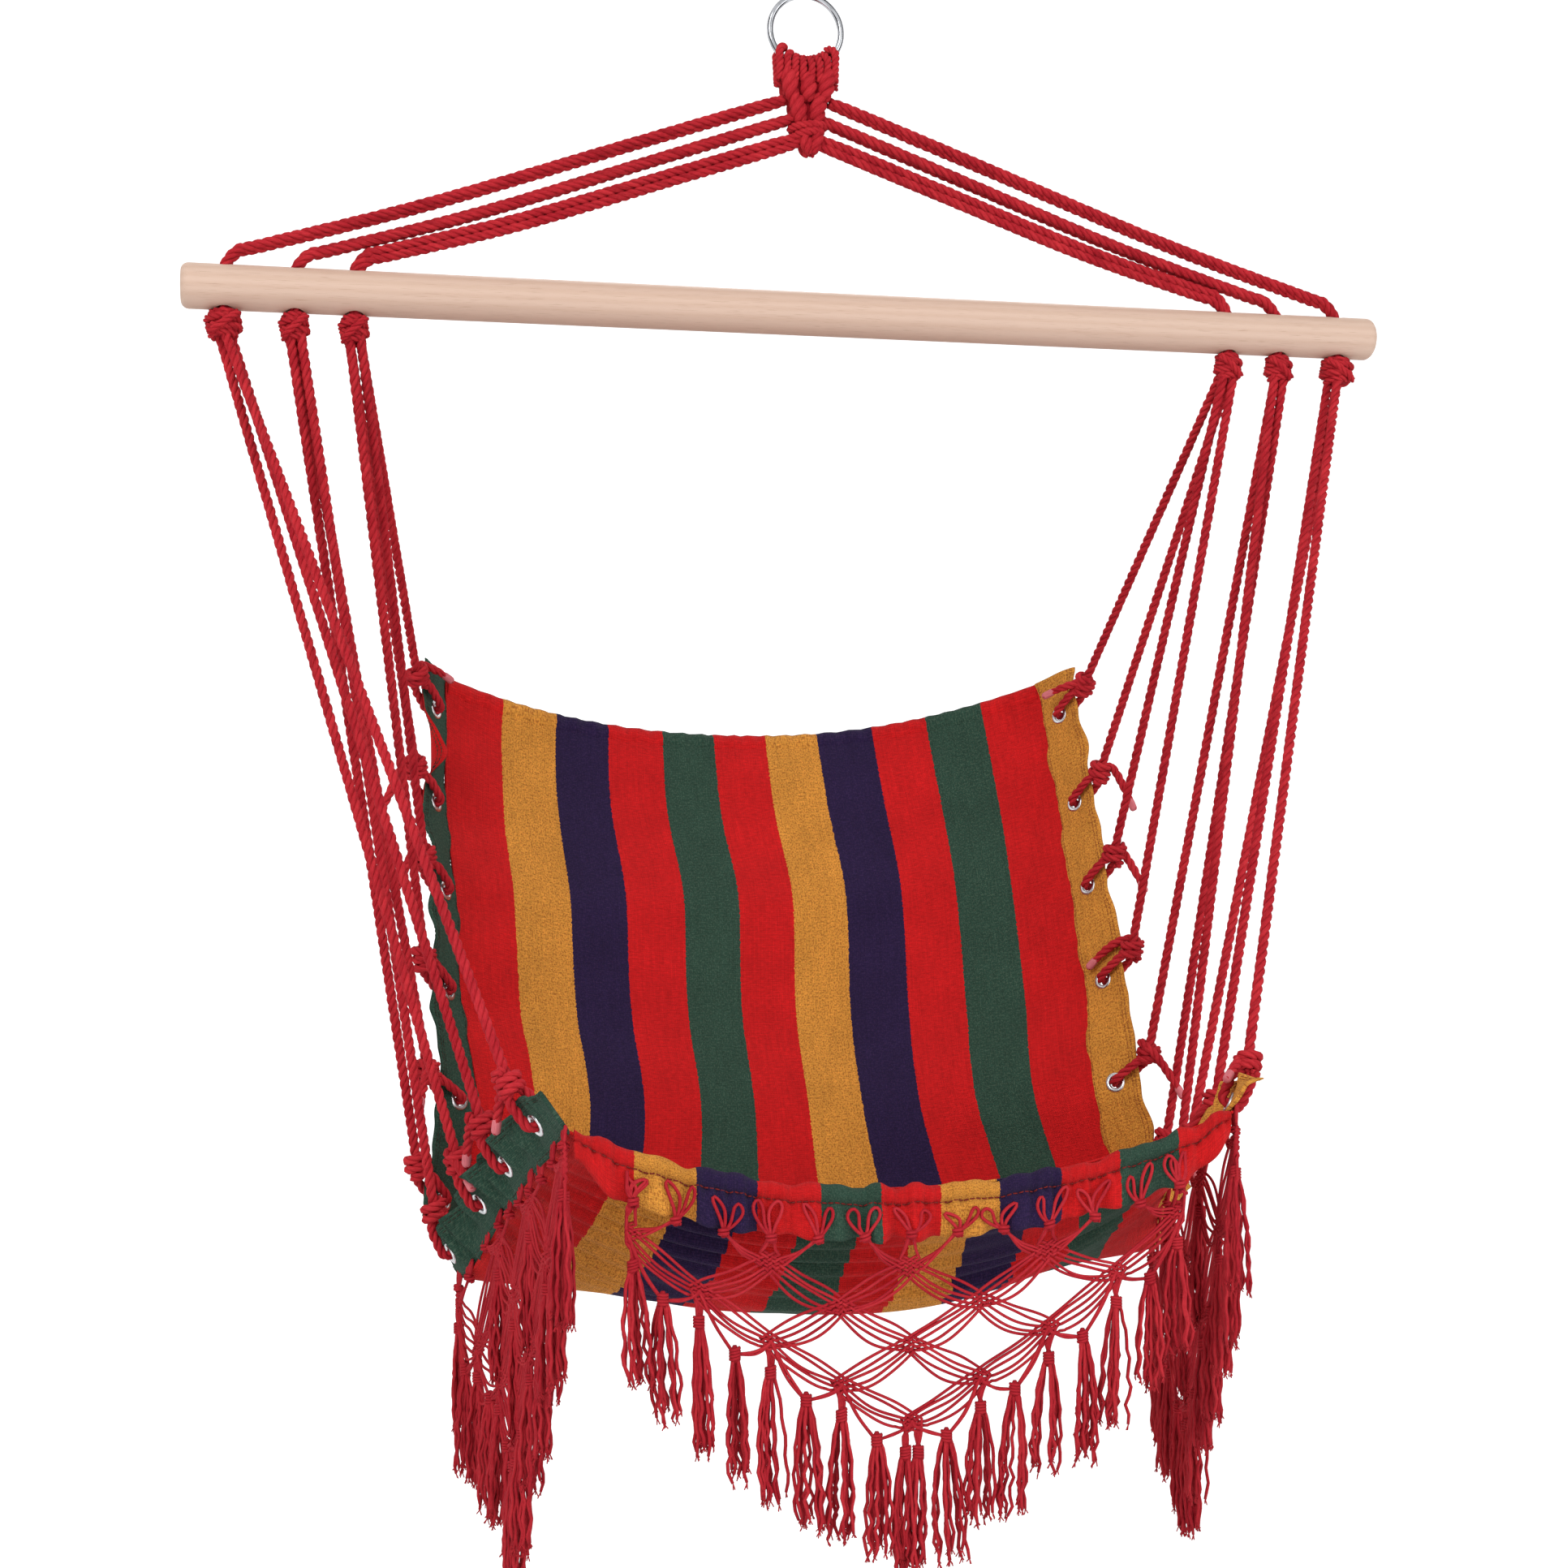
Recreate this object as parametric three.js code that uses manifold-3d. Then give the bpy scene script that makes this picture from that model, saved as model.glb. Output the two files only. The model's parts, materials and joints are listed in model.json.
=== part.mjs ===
// Hammock chair: a striped sling seat that hangs on twenty ropes from a spreader bar and a steel ring.
// Millimetres, +Z up, the seat's front towards -Y, and +X to the right of someone who faces that front.
// The origin is the centre of the hanging ring.
import * as THREE from 'three';
import { mergeVertices } from 'three/addons/utils/BufferGeometryUtils.js';
import Module from 'manifold-3d';

const wasm = await Module();
wasm.setup();

// Driving dimensions
const ringMeanRadius = 30;
const ringWire = 5.5;
const barLength = 1000;
const barDiameter = 35.5;
const barDrop = 237;
const ropeDiameter = 8;
const seatHalfSpan = 300;
const seatDepth = 600;
const seatDrop = 770;
const hemWidth = 44;
const clothThickness = 2.4;
const hemThickness = 3;
const slingShift = 52;

// Clearances
const seatGap = 0.3;
const hitchGap = 0.3;
const loopGap = 0.7;
const cutOverrun = 5;

// Facet counts
const ropeSides = 5;
const loopSides = 5;
const knotSides = 8;
const knotBands = 4;
const smallKnotSides = 6;
const smallKnotBands = 3;
const netKnotSides = 4;
const netKnotBands = 3;
const holeSides = 8;
const barSides = 20;

// Looks of the materials
const ropeLook = { color: 0xb5242f, roughness: 0.85, metalness: 0 };
const steelLook = { color: 0xb9bcc0, roughness: 0.2, metalness: 1 };
const woodLook = { color: 0xdcbfae, roughness: 0.55, metalness: 0 };
const clothLook = { color: 0xc4262b, roughness: 0.9, metalness: 0 };
const greenLook = { color: 0x35564a, roughness: 0.9, metalness: 0 };
const ochreLook = { color: 0xd9944a, roughness: 0.9, metalness: 0 };

const vec = (x, y, z) => new THREE.Vector3(x, y, z);
const mix = (a, b, share) => a + (b - a) * share;
const sideName = (side) => (side < 0 ? 'left' : 'right');

// Booleans on closed meshes
function welded(geometry) {
  const bare = geometry.clone();
  bare.deleteAttribute('normal');
  bare.deleteAttribute('uv');
  return mergeVertices(bare);
}

function solidOf(geometry) {
  const merged = welded(geometry);
  const numProp = 3;
  const vertProperties = new Float32Array(merged.attributes.position.array);
  const triVerts = new Uint32Array(merged.index.array);
  return new wasm.Manifold(new wasm.Mesh({ numProp, vertProperties, triVerts }));
}

function geometryOf(solid) {
  const mesh = solid.getMesh();
  const geometry = new THREE.BufferGeometry();
  geometry.setAttribute('position', new THREE.BufferAttribute(mesh.vertProperties, mesh.numProp));
  geometry.setIndex(new THREE.BufferAttribute(mesh.triVerts, 1));
  return geometry;
}

function joined(pieces) {
  return geometryOf(pieces.map(solidOf).reduce((whole, piece) => whole.add(piece)));
}

function cut(geometry, tools) {
  return geometryOf(tools.map(solidOf).reduce((whole, tool) => whole.subtract(tool), solidOf(geometry)));
}

// A closed body through a row of equal rings of points, capped at both ends and turned the right way out
function loft(rings) {
  const count = rings[0].length;
  const corners = rings.flat();
  const faces = [];
  for (let i = 0; i + 1 < rings.length; i += 1) {
    for (let j = 0; j < count; j += 1) {
      const a = i * count + j;
      const b = i * count + ((j + 1) % count);
      faces.push([a, b, b + count], [a, b + count, a + count]);
    }
  }
  const last = (rings.length - 1) * count;
  for (let j = 1; j + 1 < count; j += 1) {
    faces.push([0, j + 1, j], [last, last + j, last + j + 1]);
  }
  return closedBody(corners, faces);
}

function closedBody(corners, faces) {
  const volume = faces.reduce((sum, [a, b, c]) => {
    return sum + corners[a].dot(corners[b].clone().cross(corners[c]));
  }, 0);
  const turned = volume < 0 ? faces.map(([a, b, c]) => [a, c, b]) : faces;
  const geometry = new THREE.BufferGeometry();
  geometry.setFromPoints(corners);
  geometry.setIndex(turned.flat());
  return geometry;
}

// A round section with a given number of sides, for tubes along a path
function roundSection(radius, sides) {
  const points = [];
  for (let i = 0; i < sides; i += 1) {
    const angle = (i / sides) * Math.PI * 2;
    points.push(new THREE.Vector2(radius * Math.cos(angle), radius * Math.sin(angle)));
  }
  return new THREE.Shape(points);
}

function tube(path, radius, sides, steps) {
  const options = { extrudePath: path, steps, bevelEnabled: false };
  return new THREE.ExtrudeGeometry(roundSection(radius, sides), options);
}

function straightTube(from, to, radius, sides) {
  return tube(new THREE.LineCurve3(from, to), radius, sides, 1);
}

// An ellipsoid, for knots and lobes of cord
function lobe(centre, radii, sides = knotSides, bands = knotBands) {
  const geometry = new THREE.SphereGeometry(1, sides, bands);
  geometry.rotateX(Math.PI / 2);
  geometry.scale(radii.x, radii.y, radii.z);
  return geometry.translate(centre.x, centre.y, centre.z);
}

function ball(centre, radius) {
  return lobe(centre, vec(radius, radius, radius), smallKnotSides, smallKnotBands);
}

const chair = new THREE.Group();

function addMesh(name, geometry, look) {
  const mesh = new THREE.Mesh(geometry, new THREE.MeshStandardMaterial(look));
  mesh.name = name;
  chair.add(mesh);
  return mesh;
}

// Hanging ring
const ringTubeSides = 8;
const ringSteps = 24;

function makeRing() {
  const geometry = new THREE.TorusGeometry(ringMeanRadius, ringWire / 2, ringTubeSides, ringSteps);
  addMesh('ring', geometry.rotateX(Math.PI / 2), steelLook);
}

// Cord hitches on the ring: pairs of wraps on the lower arc, with legs down to the straight cord under them
const cordRadius = 3;
const hitchAngles = [10, 21, 35, 46];
const innerLegX = 9.5;
const outerLegX = 23.5;
const innerLegHeight = 8.5;
const outerLegHeight = 17.5;
const hitchBarDrop = 46;
const hitchBarReach = 26.5;
const hitchSteps = 8;

function cordLoop(radius, tubeRadius) {
  return new THREE.TorusGeometry(radius, tubeRadius, loopSides, hitchSteps);
}

function makeHitches() {
  const wrapRadius = ringWire / 2 + hitchGap + cordRadius;
  const pieces = [];
  for (const side of [-1, 1]) {
    for (const degrees of hitchAngles) {
      const wrap = cordLoop(wrapRadius, cordRadius);
      wrap.rotateY(Math.PI / 2);
      wrap.translate(0, 0, -ringMeanRadius);
      wrap.rotateY(-side * THREE.MathUtils.degToRad(degrees));
      pieces.push(wrap);
    }
    for (const [x, height] of [[innerLegX, innerLegHeight], [outerLegX, outerLegHeight]]) {
      const foot = vec(side * x, 0, -hitchBarDrop);
      pieces.push(straightTube(vec(side * x, 0, height - hitchBarDrop), foot, cordRadius, ropeSides));
    }
  }
  const end = vec(hitchBarReach, 0, -hitchBarDrop);
  pieces.push(straightTube(vec(-hitchBarReach, 0, -hitchBarDrop), end, cordRadius, knotSides));
  addMesh('ring_hitches', joined(pieces), ropeLook);
}

// Clew: three loops on the hitches, then rows of three, two and one cord lobes that taper to the last knot
const clewLoopRadius = 2.9;
const clewColumn = 16.5;
const middleLobeX = 8.5;
const outerRowDrop = 59;
const middleRowDrop = 73;
const innerRowDrop = 90;
const lobeRadius = 8;
const clewRows = {
  outer: { xs: [-clewColumn, 0, clewColumn], drop: outerRowDrop, radiusShares: [0.94, 0.88, 1.13] },
  middle: { xs: [-middleLobeX, middleLobeX], drop: middleRowDrop, radiusShares: [1, 0.94, 1.25] },
  inner: { xs: [0], drop: innerRowDrop, radiusShares: [1.25, 1, 1.56] },
};

const lobeRadii = ({ radiusShares }) => vec(...radiusShares).multiplyScalar(lobeRadius);

function makeClew() {
  const pieces = [];
  for (const x of [-clewColumn, 0, clewColumn]) {
    const loop = cordLoop(cordRadius + hitchGap + clewLoopRadius, clewLoopRadius);
    pieces.push(loop.rotateY(Math.PI / 2).translate(x, 0, -hitchBarDrop));
  }
  for (const row of Object.values(clewRows)) {
    for (const x of row.xs) {
      pieces.push(lobe(vec(x, 0, -row.drop), lobeRadii(row)));
    }
  }
  addMesh('clew', joined(pieces), ropeLook);
}

// Spreader bar: a turned dowel with rounded ends and six bored rope holes
const barEndRadius = 5;
const barEndSteps = 2;
const boreRadius = 7;
const boreSides = 10;
const outerHoleInset = 33;
const middleHoleInset = 87;
const innerHoleInset = 133;
const holeXs = {
  inner: barLength / 2 - innerHoleInset,
  middle: barLength / 2 - middleHoleInset,
  outer: barLength / 2 - outerHoleInset,
};

function makeBar() {
  const radius = barDiameter / 2;
  const half = barLength / 2;
  const outline = [new THREE.Vector2(0, -half)];
  for (const end of [-1, 1]) {
    for (let i = 0; i <= barEndSteps; i += 1) {
      const angle = ((end < 0 ? barEndSteps - i : i) / barEndSteps) * (Math.PI / 2);
      const r = radius - barEndRadius + barEndRadius * Math.cos(angle);
      const z = end * (half - barEndRadius + barEndRadius * Math.sin(angle));
      outline.push(new THREE.Vector2(r, z));
    }
  }
  outline.push(new THREE.Vector2(0, half));
  const dowel = new THREE.LatheGeometry(outline, barSides).rotateZ(Math.PI / 2).translate(0, 0, -barDrop);
  const bores = [];
  for (const side of [-1, 1]) {
    for (const x of Object.values(holeXs)) {
      const top = vec(side * x, 0, -barDrop + radius + cutOverrun);
      bores.push(straightTube(top, vec(side * x, 0, -barDrop - radius - cutOverrun), boreRadius, boreSides));
    }
  }
  addMesh('spreader_bar', cut(dowel, bores), woodLook);
}

// Fan ropes: a bundle from the clew to a hole in the bar, through it, and into a stopper knot below
const strandPitch = 7;
const collarRadius = 7.6;
const shoulderRadius = 6.9;
const neckRadius = 6.4;
const knotRadius = 12;
const outerKnotRadius = 15;
const barRadius = barDiameter / 2;
const knotDrop = barDrop + barRadius + seatGap + knotRadius;
// Each strand's place across its bundle, as shares of half the strands' pitch
const strandShares = {
  inner: [[-1, -1.2], [1, -1.2], [-1, 1.2], [1, 1.2]],
  middle: [[-1, -1], [1, -1], [0, 1.2]],
  outer: [[-1, -1], [1, -1], [0, 1.2]],
};

function makeFan(place, side) {
  const row = clewRows[place];
  const from = vec(side * Math.max(...row.xs), 0, -row.drop);
  const shoulder = vec(side * holeXs[place], 0, -barDrop + barRadius + seatGap + shoulderRadius);
  const along = shoulder.clone().sub(from).normalize();
  const collar = from.clone().addScaledVector(along, lobeRadii(row).x + seatGap + collarRadius);
  const across = along.clone().cross(vec(0, side, 0)).normalize();
  const knotReach = place === 'outer' ? outerKnotRadius : knotRadius;
  const pieces = [
    ball(collar, collarRadius),
    ball(shoulder, shoulderRadius),
    straightTube(shoulder, vec(shoulder.x, 0, -knotDrop), neckRadius, holeSides),
    lobe(vec(shoulder.x, 0, -knotDrop), vec(knotReach, knotRadius, knotRadius)),
  ];
  for (const [acrossShare, deepShare] of strandShares[place]) {
    const shift = across.clone().multiplyScalar((acrossShare * strandPitch) / 2);
    shift.y += (deepShare * strandPitch) / 2;
    const end = shoulder.clone().add(shift);
    pieces.push(straightTube(collar.clone().add(shift), end, ropeDiameter / 2, ropeSides));
  }
  addMesh(`fan_rope_${place}_${sideName(side)}`, joined(pieces), ropeLook);
}

// Eyelet places along one side hem from the back's top to the front, as shares of half span, depth and drop
const eyeletShares = [
  [0.97, 0.293, 0.364],
  [0.977, 0.237, 0.473],
  [0.96, 0.16, 0.573],
  [0.96, 0.1, 0.681],
  [0.94, 0.03, 0.794],
  [0.987, 0.003, 0.897],
  [0.973, -0.092, 0.939],
  [0.917, -0.208, 0.879],
  [0.877, -0.35, 0.831],
  [0.837, -0.505, 0.782],
];
// The cloth's centre line from the back's top edge to the front lip, as shares of depth and drop
const centreShares = [
  [0.453, 0.384],
  [0.363, 0.504],
  [0.267, 0.63],
  [0.167, 0.764],
  [0.08, 0.882],
  [-0.017, 0.962],
  [-0.142, 1],
  [-0.283, 0.981],
  [-0.43, 0.909],
  [-0.558, 0.846],
];
// Each eyelet's stopper knot, and where its rope leaves that knot in shares of the ropes' pitch
const ropeStartShares = [
  ['inner', -0.5, 0.5],
  ['inner', 0.5, 0.5],
  ['inner', -0.5, -0.5],
  ['inner', 0.5, -0.5],
  ['middle', 0, 0.5],
  ['middle', 0.5, -0.5],
  ['middle', -0.5, -0.5],
  ['outer', 0.5, 0.5],
  ['outer', -0.5, 0.5],
  ['outer', 0, -0.5],
];
const ropeRadius = ropeDiameter / 2;
const ropePitch = 8.6;
const ropeEndGap = 1.3;
const hemTopReach = 42;
const hemFrontReach = 40;
const eyeletFlat = 12;
const outwardLeanShare = 0.3;
const curveReachShare = 1 / 3;

const seatPoint = (side, shares) => vec(
  side * shares[0] * seatHalfSpan,
  shares[1] * seatDepth + slingShift,
  -knotDrop - shares[2] * seatDrop,
);

// The start of each seat rope, on the round underside of its knot, so that the seat can swing about the knots
function ropeStart(side, [knot, xShare, yShare]) {
  const deep = yShare * ropePitch;
  const down = Math.sqrt((knotRadius + ropeEndGap) ** 2 - deep * deep);
  return vec(side * (holeXs[knot] + xShare * ropePitch), deep, -knotDrop - down);
}

// A frame at each eyelet: along the hem towards the back, outward across it as the rope pulls, and normal
function eyeletFrames(side) {
  const places = eyeletShares.map((shares) => seatPoint(side, shares));
  return places.map((centre, i) => {
    const before = places[Math.max(i - 1, 0)];
    const after = places[Math.min(i + 1, places.length - 1)];
    const along = before.clone().sub(after).normalize();
    const start = ropeStart(side, ropeStartShares[i]);
    const pull = start.clone().sub(centre).normalize();
    const outward = pull.clone();
    outward.x += side * outwardLeanShare;
    outward.addScaledVector(along, -outward.dot(along)).normalize();
    const normal = along.clone().cross(outward).multiplyScalar(side).normalize();
    return { centre, along, outward, normal, start, pull };
  });
}

// Stations of the hem from the top end to the front tip: flat at each eyelet, with one between eyelets
function hemStations(side) {
  const frames = eyeletFrames(side);
  const moved = (frame, distance) => {
    return { ...frame, centre: frame.centre.clone().addScaledVector(frame.along, distance) };
  };
  const stations = [moved(frames[0], hemTopReach)];
  frames.forEach((frame, i) => {
    if (i > 0) {
      stations.push(between(frames[i - 1], frame));
    }
    stations.push(moved(frame, eyeletFlat), moved(frame, -eyeletFlat));
  });
  stations.push(moved(frames[frames.length - 1], -hemFrontReach));
  return stations;
}

function between(a, b) {
  const reach = a.centre.distanceTo(b.centre) * curveReachShare;
  const curve = new THREE.CubicBezierCurve3(
    a.centre,
    a.centre.clone().addScaledVector(a.along, -reach),
    b.centre.clone().addScaledVector(b.along, reach),
    b.centre,
  );
  const outward = a.outward.clone().add(b.outward).normalize();
  const normal = a.normal.clone().add(b.normal).normalize();
  return { centre: curve.getPoint(1 / 2), outward, normal };
}

// Eyelets: a barrel through the hem with a flange on each face
const eyeletBore = 5.2;
const eyeletBarrel = 5.9;
const eyeletFlange = 8.5;
const eyeletFlangeThickness = 0.8;
const hemHoleRadius = 6.8;

function eyeletGeometry() {
  const inner = hemThickness / 2 + seatGap;
  const outer = inner + eyeletFlangeThickness;
  const outline = [
    [eyeletBore, -outer],
    [eyeletFlange, -inner],
    [eyeletBarrel, -inner],
    [eyeletBarrel, inner],
    [eyeletFlange, inner],
    [eyeletBore, outer],
    [eyeletBore, -outer],
  ].map(([r, z]) => new THREE.Vector2(r, z));
  return new THREE.LatheGeometry(outline, holeSides);
}

function turnTo(frame) {
  const across = frame.along.clone().cross(frame.normal);
  const basis = new THREE.Matrix4().makeBasis(frame.along, frame.normal, across);
  return new THREE.Quaternion().setFromRotationMatrix(basis);
}

function makeEyelets(side) {
  eyeletFrames(side).forEach((frame, i) => {
    const mesh = addMesh(`eyelet_${sideName(side)}_${i + 1}`, eyeletGeometry(), steelLook);
    mesh.position.copy(frame.centre);
    mesh.quaternion.copy(turnTo(frame));
  });
}

// Side hems: doubled strips with a hole for each eyelet
function makeHem(side) {
  const half = hemWidth / 2;
  const rings = hemStations(side).map(({ centre, outward, normal }) => {
    return [[-1, -1], [1, -1], [1, 1], [-1, 1]].map(([a, b]) => {
      const edge = centre.clone().addScaledVector(outward, a * half);
      return edge.addScaledVector(normal, (b * hemThickness) / 2);
    });
  });
  const holes = eyeletFrames(side).map((frame) => {
    const depth = hemThickness + cutOverrun;
    const hole = new THREE.CylinderGeometry(hemHoleRadius, hemHoleRadius, depth, holeSides);
    return hole.applyQuaternion(turnTo(frame)).translate(...frame.centre);
  });
  addMesh(`side_hem_${sideName(side)}`, cut(loft(rings), holes), side < 0 ? greenLook : ochreLook);
}

// Seat ropes: from under the stopper knot to a tie knot past the hem's edge, and a loop through the eyelet
const tieRadius = 8;
const tieClear = 1;
const tieLeanShare = 0.5;
const loopSteps = 7;
const loopTurn = 4;
const ropeOffHem = hemThickness / 2 + seatGap + eyeletFlangeThickness + loopGap + ropeRadius;

function makeSeatRope(side, frame, number) {
  const { centre, along, normal, start, pull, outward } = frame;
  const lean = Math.min(pull.dot(along) / pull.dot(outward), tieLeanShare);
  const toTie = outward.clone().addScaledVector(along, lean).normalize();
  const reach = (hemWidth / 2 + tieRadius + tieClear) / toTie.dot(outward);
  const at = (far, high) => centre.clone().addScaledVector(toTie, far).addScaledVector(normal, high);
  const tie = at(reach, 0);
  const edge = hemWidth / 2 / toTie.dot(outward);
  const face = [
    at(reach, ropeRadius / 2),
    at(edge, ropeOffHem),
    at(edge / 2 + loopTurn, ropeOffHem),
    at(loopTurn, ropeOffHem + seatGap),
    at(0, ropeOffHem - ropeRadius / 2),
    at(-seatGap, hemThickness / 2),
  ];
  const back = face.map((point) => point.clone().sub(centre).reflect(normal).add(centre));
  const loop = new THREE.CatmullRomCurve3([...face, ...back.reverse()], false, 'centripetal');
  addMesh(`seat_rope_${sideName(side)}_${number}`, joined([
    straightTube(start, tie, ropeRadius, ropeSides),
    ball(tie, tieRadius),
    tube(loop, ropeRadius, loopSides, loopSteps),
  ]), ropeLook);
}

function makeSeatRopes(side) {
  eyeletFrames(side).forEach((frame, i) => makeSeatRope(side, frame, i + 1));
}

// Seat cloth: one sheet between the hems, scooped to its centre line, with soft folds
const clothColumns = 12;
const clothEdgeGap = 0.6;
const scoopPower = 2.2;
const backWaveHeight = 5;
const backWaveShares = [0.2, 0.62];
const pleatHeight = 3.5;
const pleatStartShare = 0.7;

function clothGrid() {
  const left = hemStations(-1);
  const right = hemStations(1);
  const toEdge = -hemWidth / 2 - clothEdgeGap;
  const edgeOf = ({ centre, outward }) => centre.clone().addScaledVector(outward, toEdge);
  const lengths = [0];
  right.slice(1).forEach((station, i) => {
    lengths.push(lengths[i] + edgeOf(station).distanceTo(edgeOf(right[i])));
  });
  const centreLine = new THREE.CatmullRomCurve3(centreShares.map(([y, z]) => seatPoint(0, [0, y, z])));
  const rows = right.map((station, i) => {
    const share = lengths[i] / lengths[lengths.length - 1];
    const middle = centreLine.getPointAt(share);
    const from = edgeOf(left[i]);
    const to = edgeOf(station);
    return columnShares().map((across) => {
      const weight = Math.abs(across) ** scoopPower;
      const edge = across < 0 ? from : to;
      return vec(Math.abs(across) * edge.x, mix(middle.y, edge.y, weight), mix(middle.z, edge.z, weight));
    });
  });
  return { left, right, rows, shares: lengths.map((length) => length / lengths[lengths.length - 1]) };
}

function columnShares() {
  return Array.from({ length: clothColumns + 1 }, (_, j) => (2 * j) / clothColumns - 1);
}

function foldHeight(row, rows, share, across) {
  const flatEdge = 1 - across ** 4;
  if (row === 0 || row === rows - 1) {
    return 0;
  }
  const [from, to] = backWaveShares;
  if (share > from && share < to) {
    return backWaveHeight * flatEdge * Math.sin(((share - from) / (to - from)) * Math.PI * 2);
  }
  return share > pleatStartShare ? pleatHeight * flatEdge * (row % 2 ? 1 : -1) : 0;
}

function clothNormal(rows, i, j) {
  const down = rows[Math.min(i + 1, rows.length - 1)][j].clone().sub(rows[Math.max(i - 1, 0)][j]);
  const over = rows[i][Math.min(j + 1, clothColumns)].clone().sub(rows[i][Math.max(j - 1, 0)]);
  return over.cross(down).normalize();
}

function makeSeatCloth() {
  const { left, right, rows, shares } = clothGrid();
  const columns = columnShares();
  const faces = [];
  const corners = [];
  const wide = clothColumns + 1;
  for (const level of [1, -1]) {
    rows.forEach((row, i) => row.forEach((point, j) => {
      const normal = clothNormal(rows, i, j);
      const folded = point.clone().addScaledVector(normal, foldHeight(i, rows.length, shares[i], columns[j]));
      let thick = normal;
      if (j === 0 || j === clothColumns) {
        thick = (j === 0 ? left : right)[i].normal.clone();
        thick.multiplyScalar(Math.sign(thick.dot(normal)) || 1);
      } else if (i === rows.length - 1) {
        thick = vec(0, 0, Math.sign(normal.z));
      }
      corners.push(folded.addScaledVector(thick, (level * clothThickness) / 2));
    }));
  }
  const under = rows.length * wide;
  const quad = (a, b, c, d) => faces.push([a, b, c], [a, c, d]);
  for (let i = 0; i + 1 < rows.length; i += 1) {
    for (let j = 0; j < clothColumns; j += 1) {
      const a = i * wide + j;
      quad(a, a + 1, a + wide + 1, a + wide);
      quad(under + a, under + a + wide, under + a + wide + 1, under + a + 1);
    }
    const start = i * wide;
    const end = start + clothColumns;
    quad(start, start + wide, under + start + wide, under + start);
    quad(end + wide, end, under + end, under + end + wide);
  }
  const last = (rows.length - 1) * wide;
  for (let j = 0; j < clothColumns; j += 1) {
    quad(j + 1, j, under + j, under + j + 1);
    quad(last + j, last + j + 1, under + last + j + 1, under + last + j);
  }
  addMesh('seat_cloth', closedBody(corners, faces), clothLook);
  return rows;
}

// Front band: the folded lip that hangs in front of the cloth's front edge, with a gathered lower edge
const bandHeight = 40;
const bandRise = 4;
const bandThickness = 4.5;
const bandBulge = 2;
const bandBulgeShare = 1 / 3;
const bandGather = 3;
const bandEndShare = 0.7;

function makeFrontBand(rows) {
  const edge = rows[rows.length - 1];
  const front = edge.slice(1, clothColumns);
  const ends = [[1, 0], [clothColumns - 1, clothColumns]].map(([from, to]) => {
    return edge[from].clone().lerp(edge[to], bandEndShare);
  });
  const rings = [ends[0], ...front, ends[1]].map((point, j) => {
    const back = point.y - seatGap;
    const gather = j % 2 ? bandGather : 0;
    const top = point.z + bandRise;
    return [
      [back, top],
      [back - bandThickness, top],
      [back - bandThickness - bandBulge, point.z - bandHeight * bandBulgeShare],
      [back - bandThickness - gather, top - bandHeight],
      [back - gather / 2, top - bandHeight],
    ].map(([y, z]) => vec(point.x, y, z));
  });
  addMesh('front_band', loft(rings), clothLook);
  const toSeam = vec(0, -seatGap - bandThickness / 2, bandRise - bandHeight);
  return front.map((point) => point.clone().add(toSeam));
}

// Fringes: a flat net of cord bundles along a seam, open in diamonds, with tassels along its V
const headerHeight = 3;
const bundleWidth = 11;
const bundleThickness = 2.4;
const netKnotWidth = 14;
const netKnotDepth = 10;
const netKnotHeight = 12;
const loopWidth = 5;
const loopSpread = 26;
const tasselSpread = 9;
const tasselStringRadius = 1.6;
const tasselKnotRadius = 4.5;
const tasselWaistRadius = 3.2;
const tasselSkirtRadius = 6.5;
const tasselKnotDrop = 33;
const tasselWaistDrop = 41;
const tasselDrop = 106;

function tassel(top) {
  const outline = [
    [0, -tasselDrop],
    [tasselSkirtRadius, -tasselDrop],
    [tasselWaistRadius, -tasselWaistDrop],
    [tasselKnotRadius, -tasselKnotDrop],
    [tasselStringRadius, 0],
    [0, 0],
  ].map(([r, z]) => new THREE.Vector2(r, z));
  const geometry = new THREE.LatheGeometry(outline, netKnotSides).rotateX(Math.PI / 2);
  return geometry.translate(top.x, top.y, top.z);
}

// A seam as a line of stations, read at a level distance from its middle
function seamLine(stations, facing) {
  const lengths = [0];
  const level = (a, b) => b.clone().sub(a).projectOnPlane(facing).setZ(0).length();
  stations.slice(1).forEach((point, i) => lengths.push(lengths[i] + level(point, stations[i])));
  const half = lengths[lengths.length - 1] / 2;
  const at = (x) => {
    const far = THREE.MathUtils.clamp(x + half, 0, half * 2);
    const i = Math.max(lengths.findIndex((length) => length >= far), 1);
    return stations[i - 1].clone().lerp(stations[i], (far - lengths[i - 1]) / (lengths[i] - lengths[i - 1]));
  };
  return { at, half, places: lengths.map((length) => length - half) };
}

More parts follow.
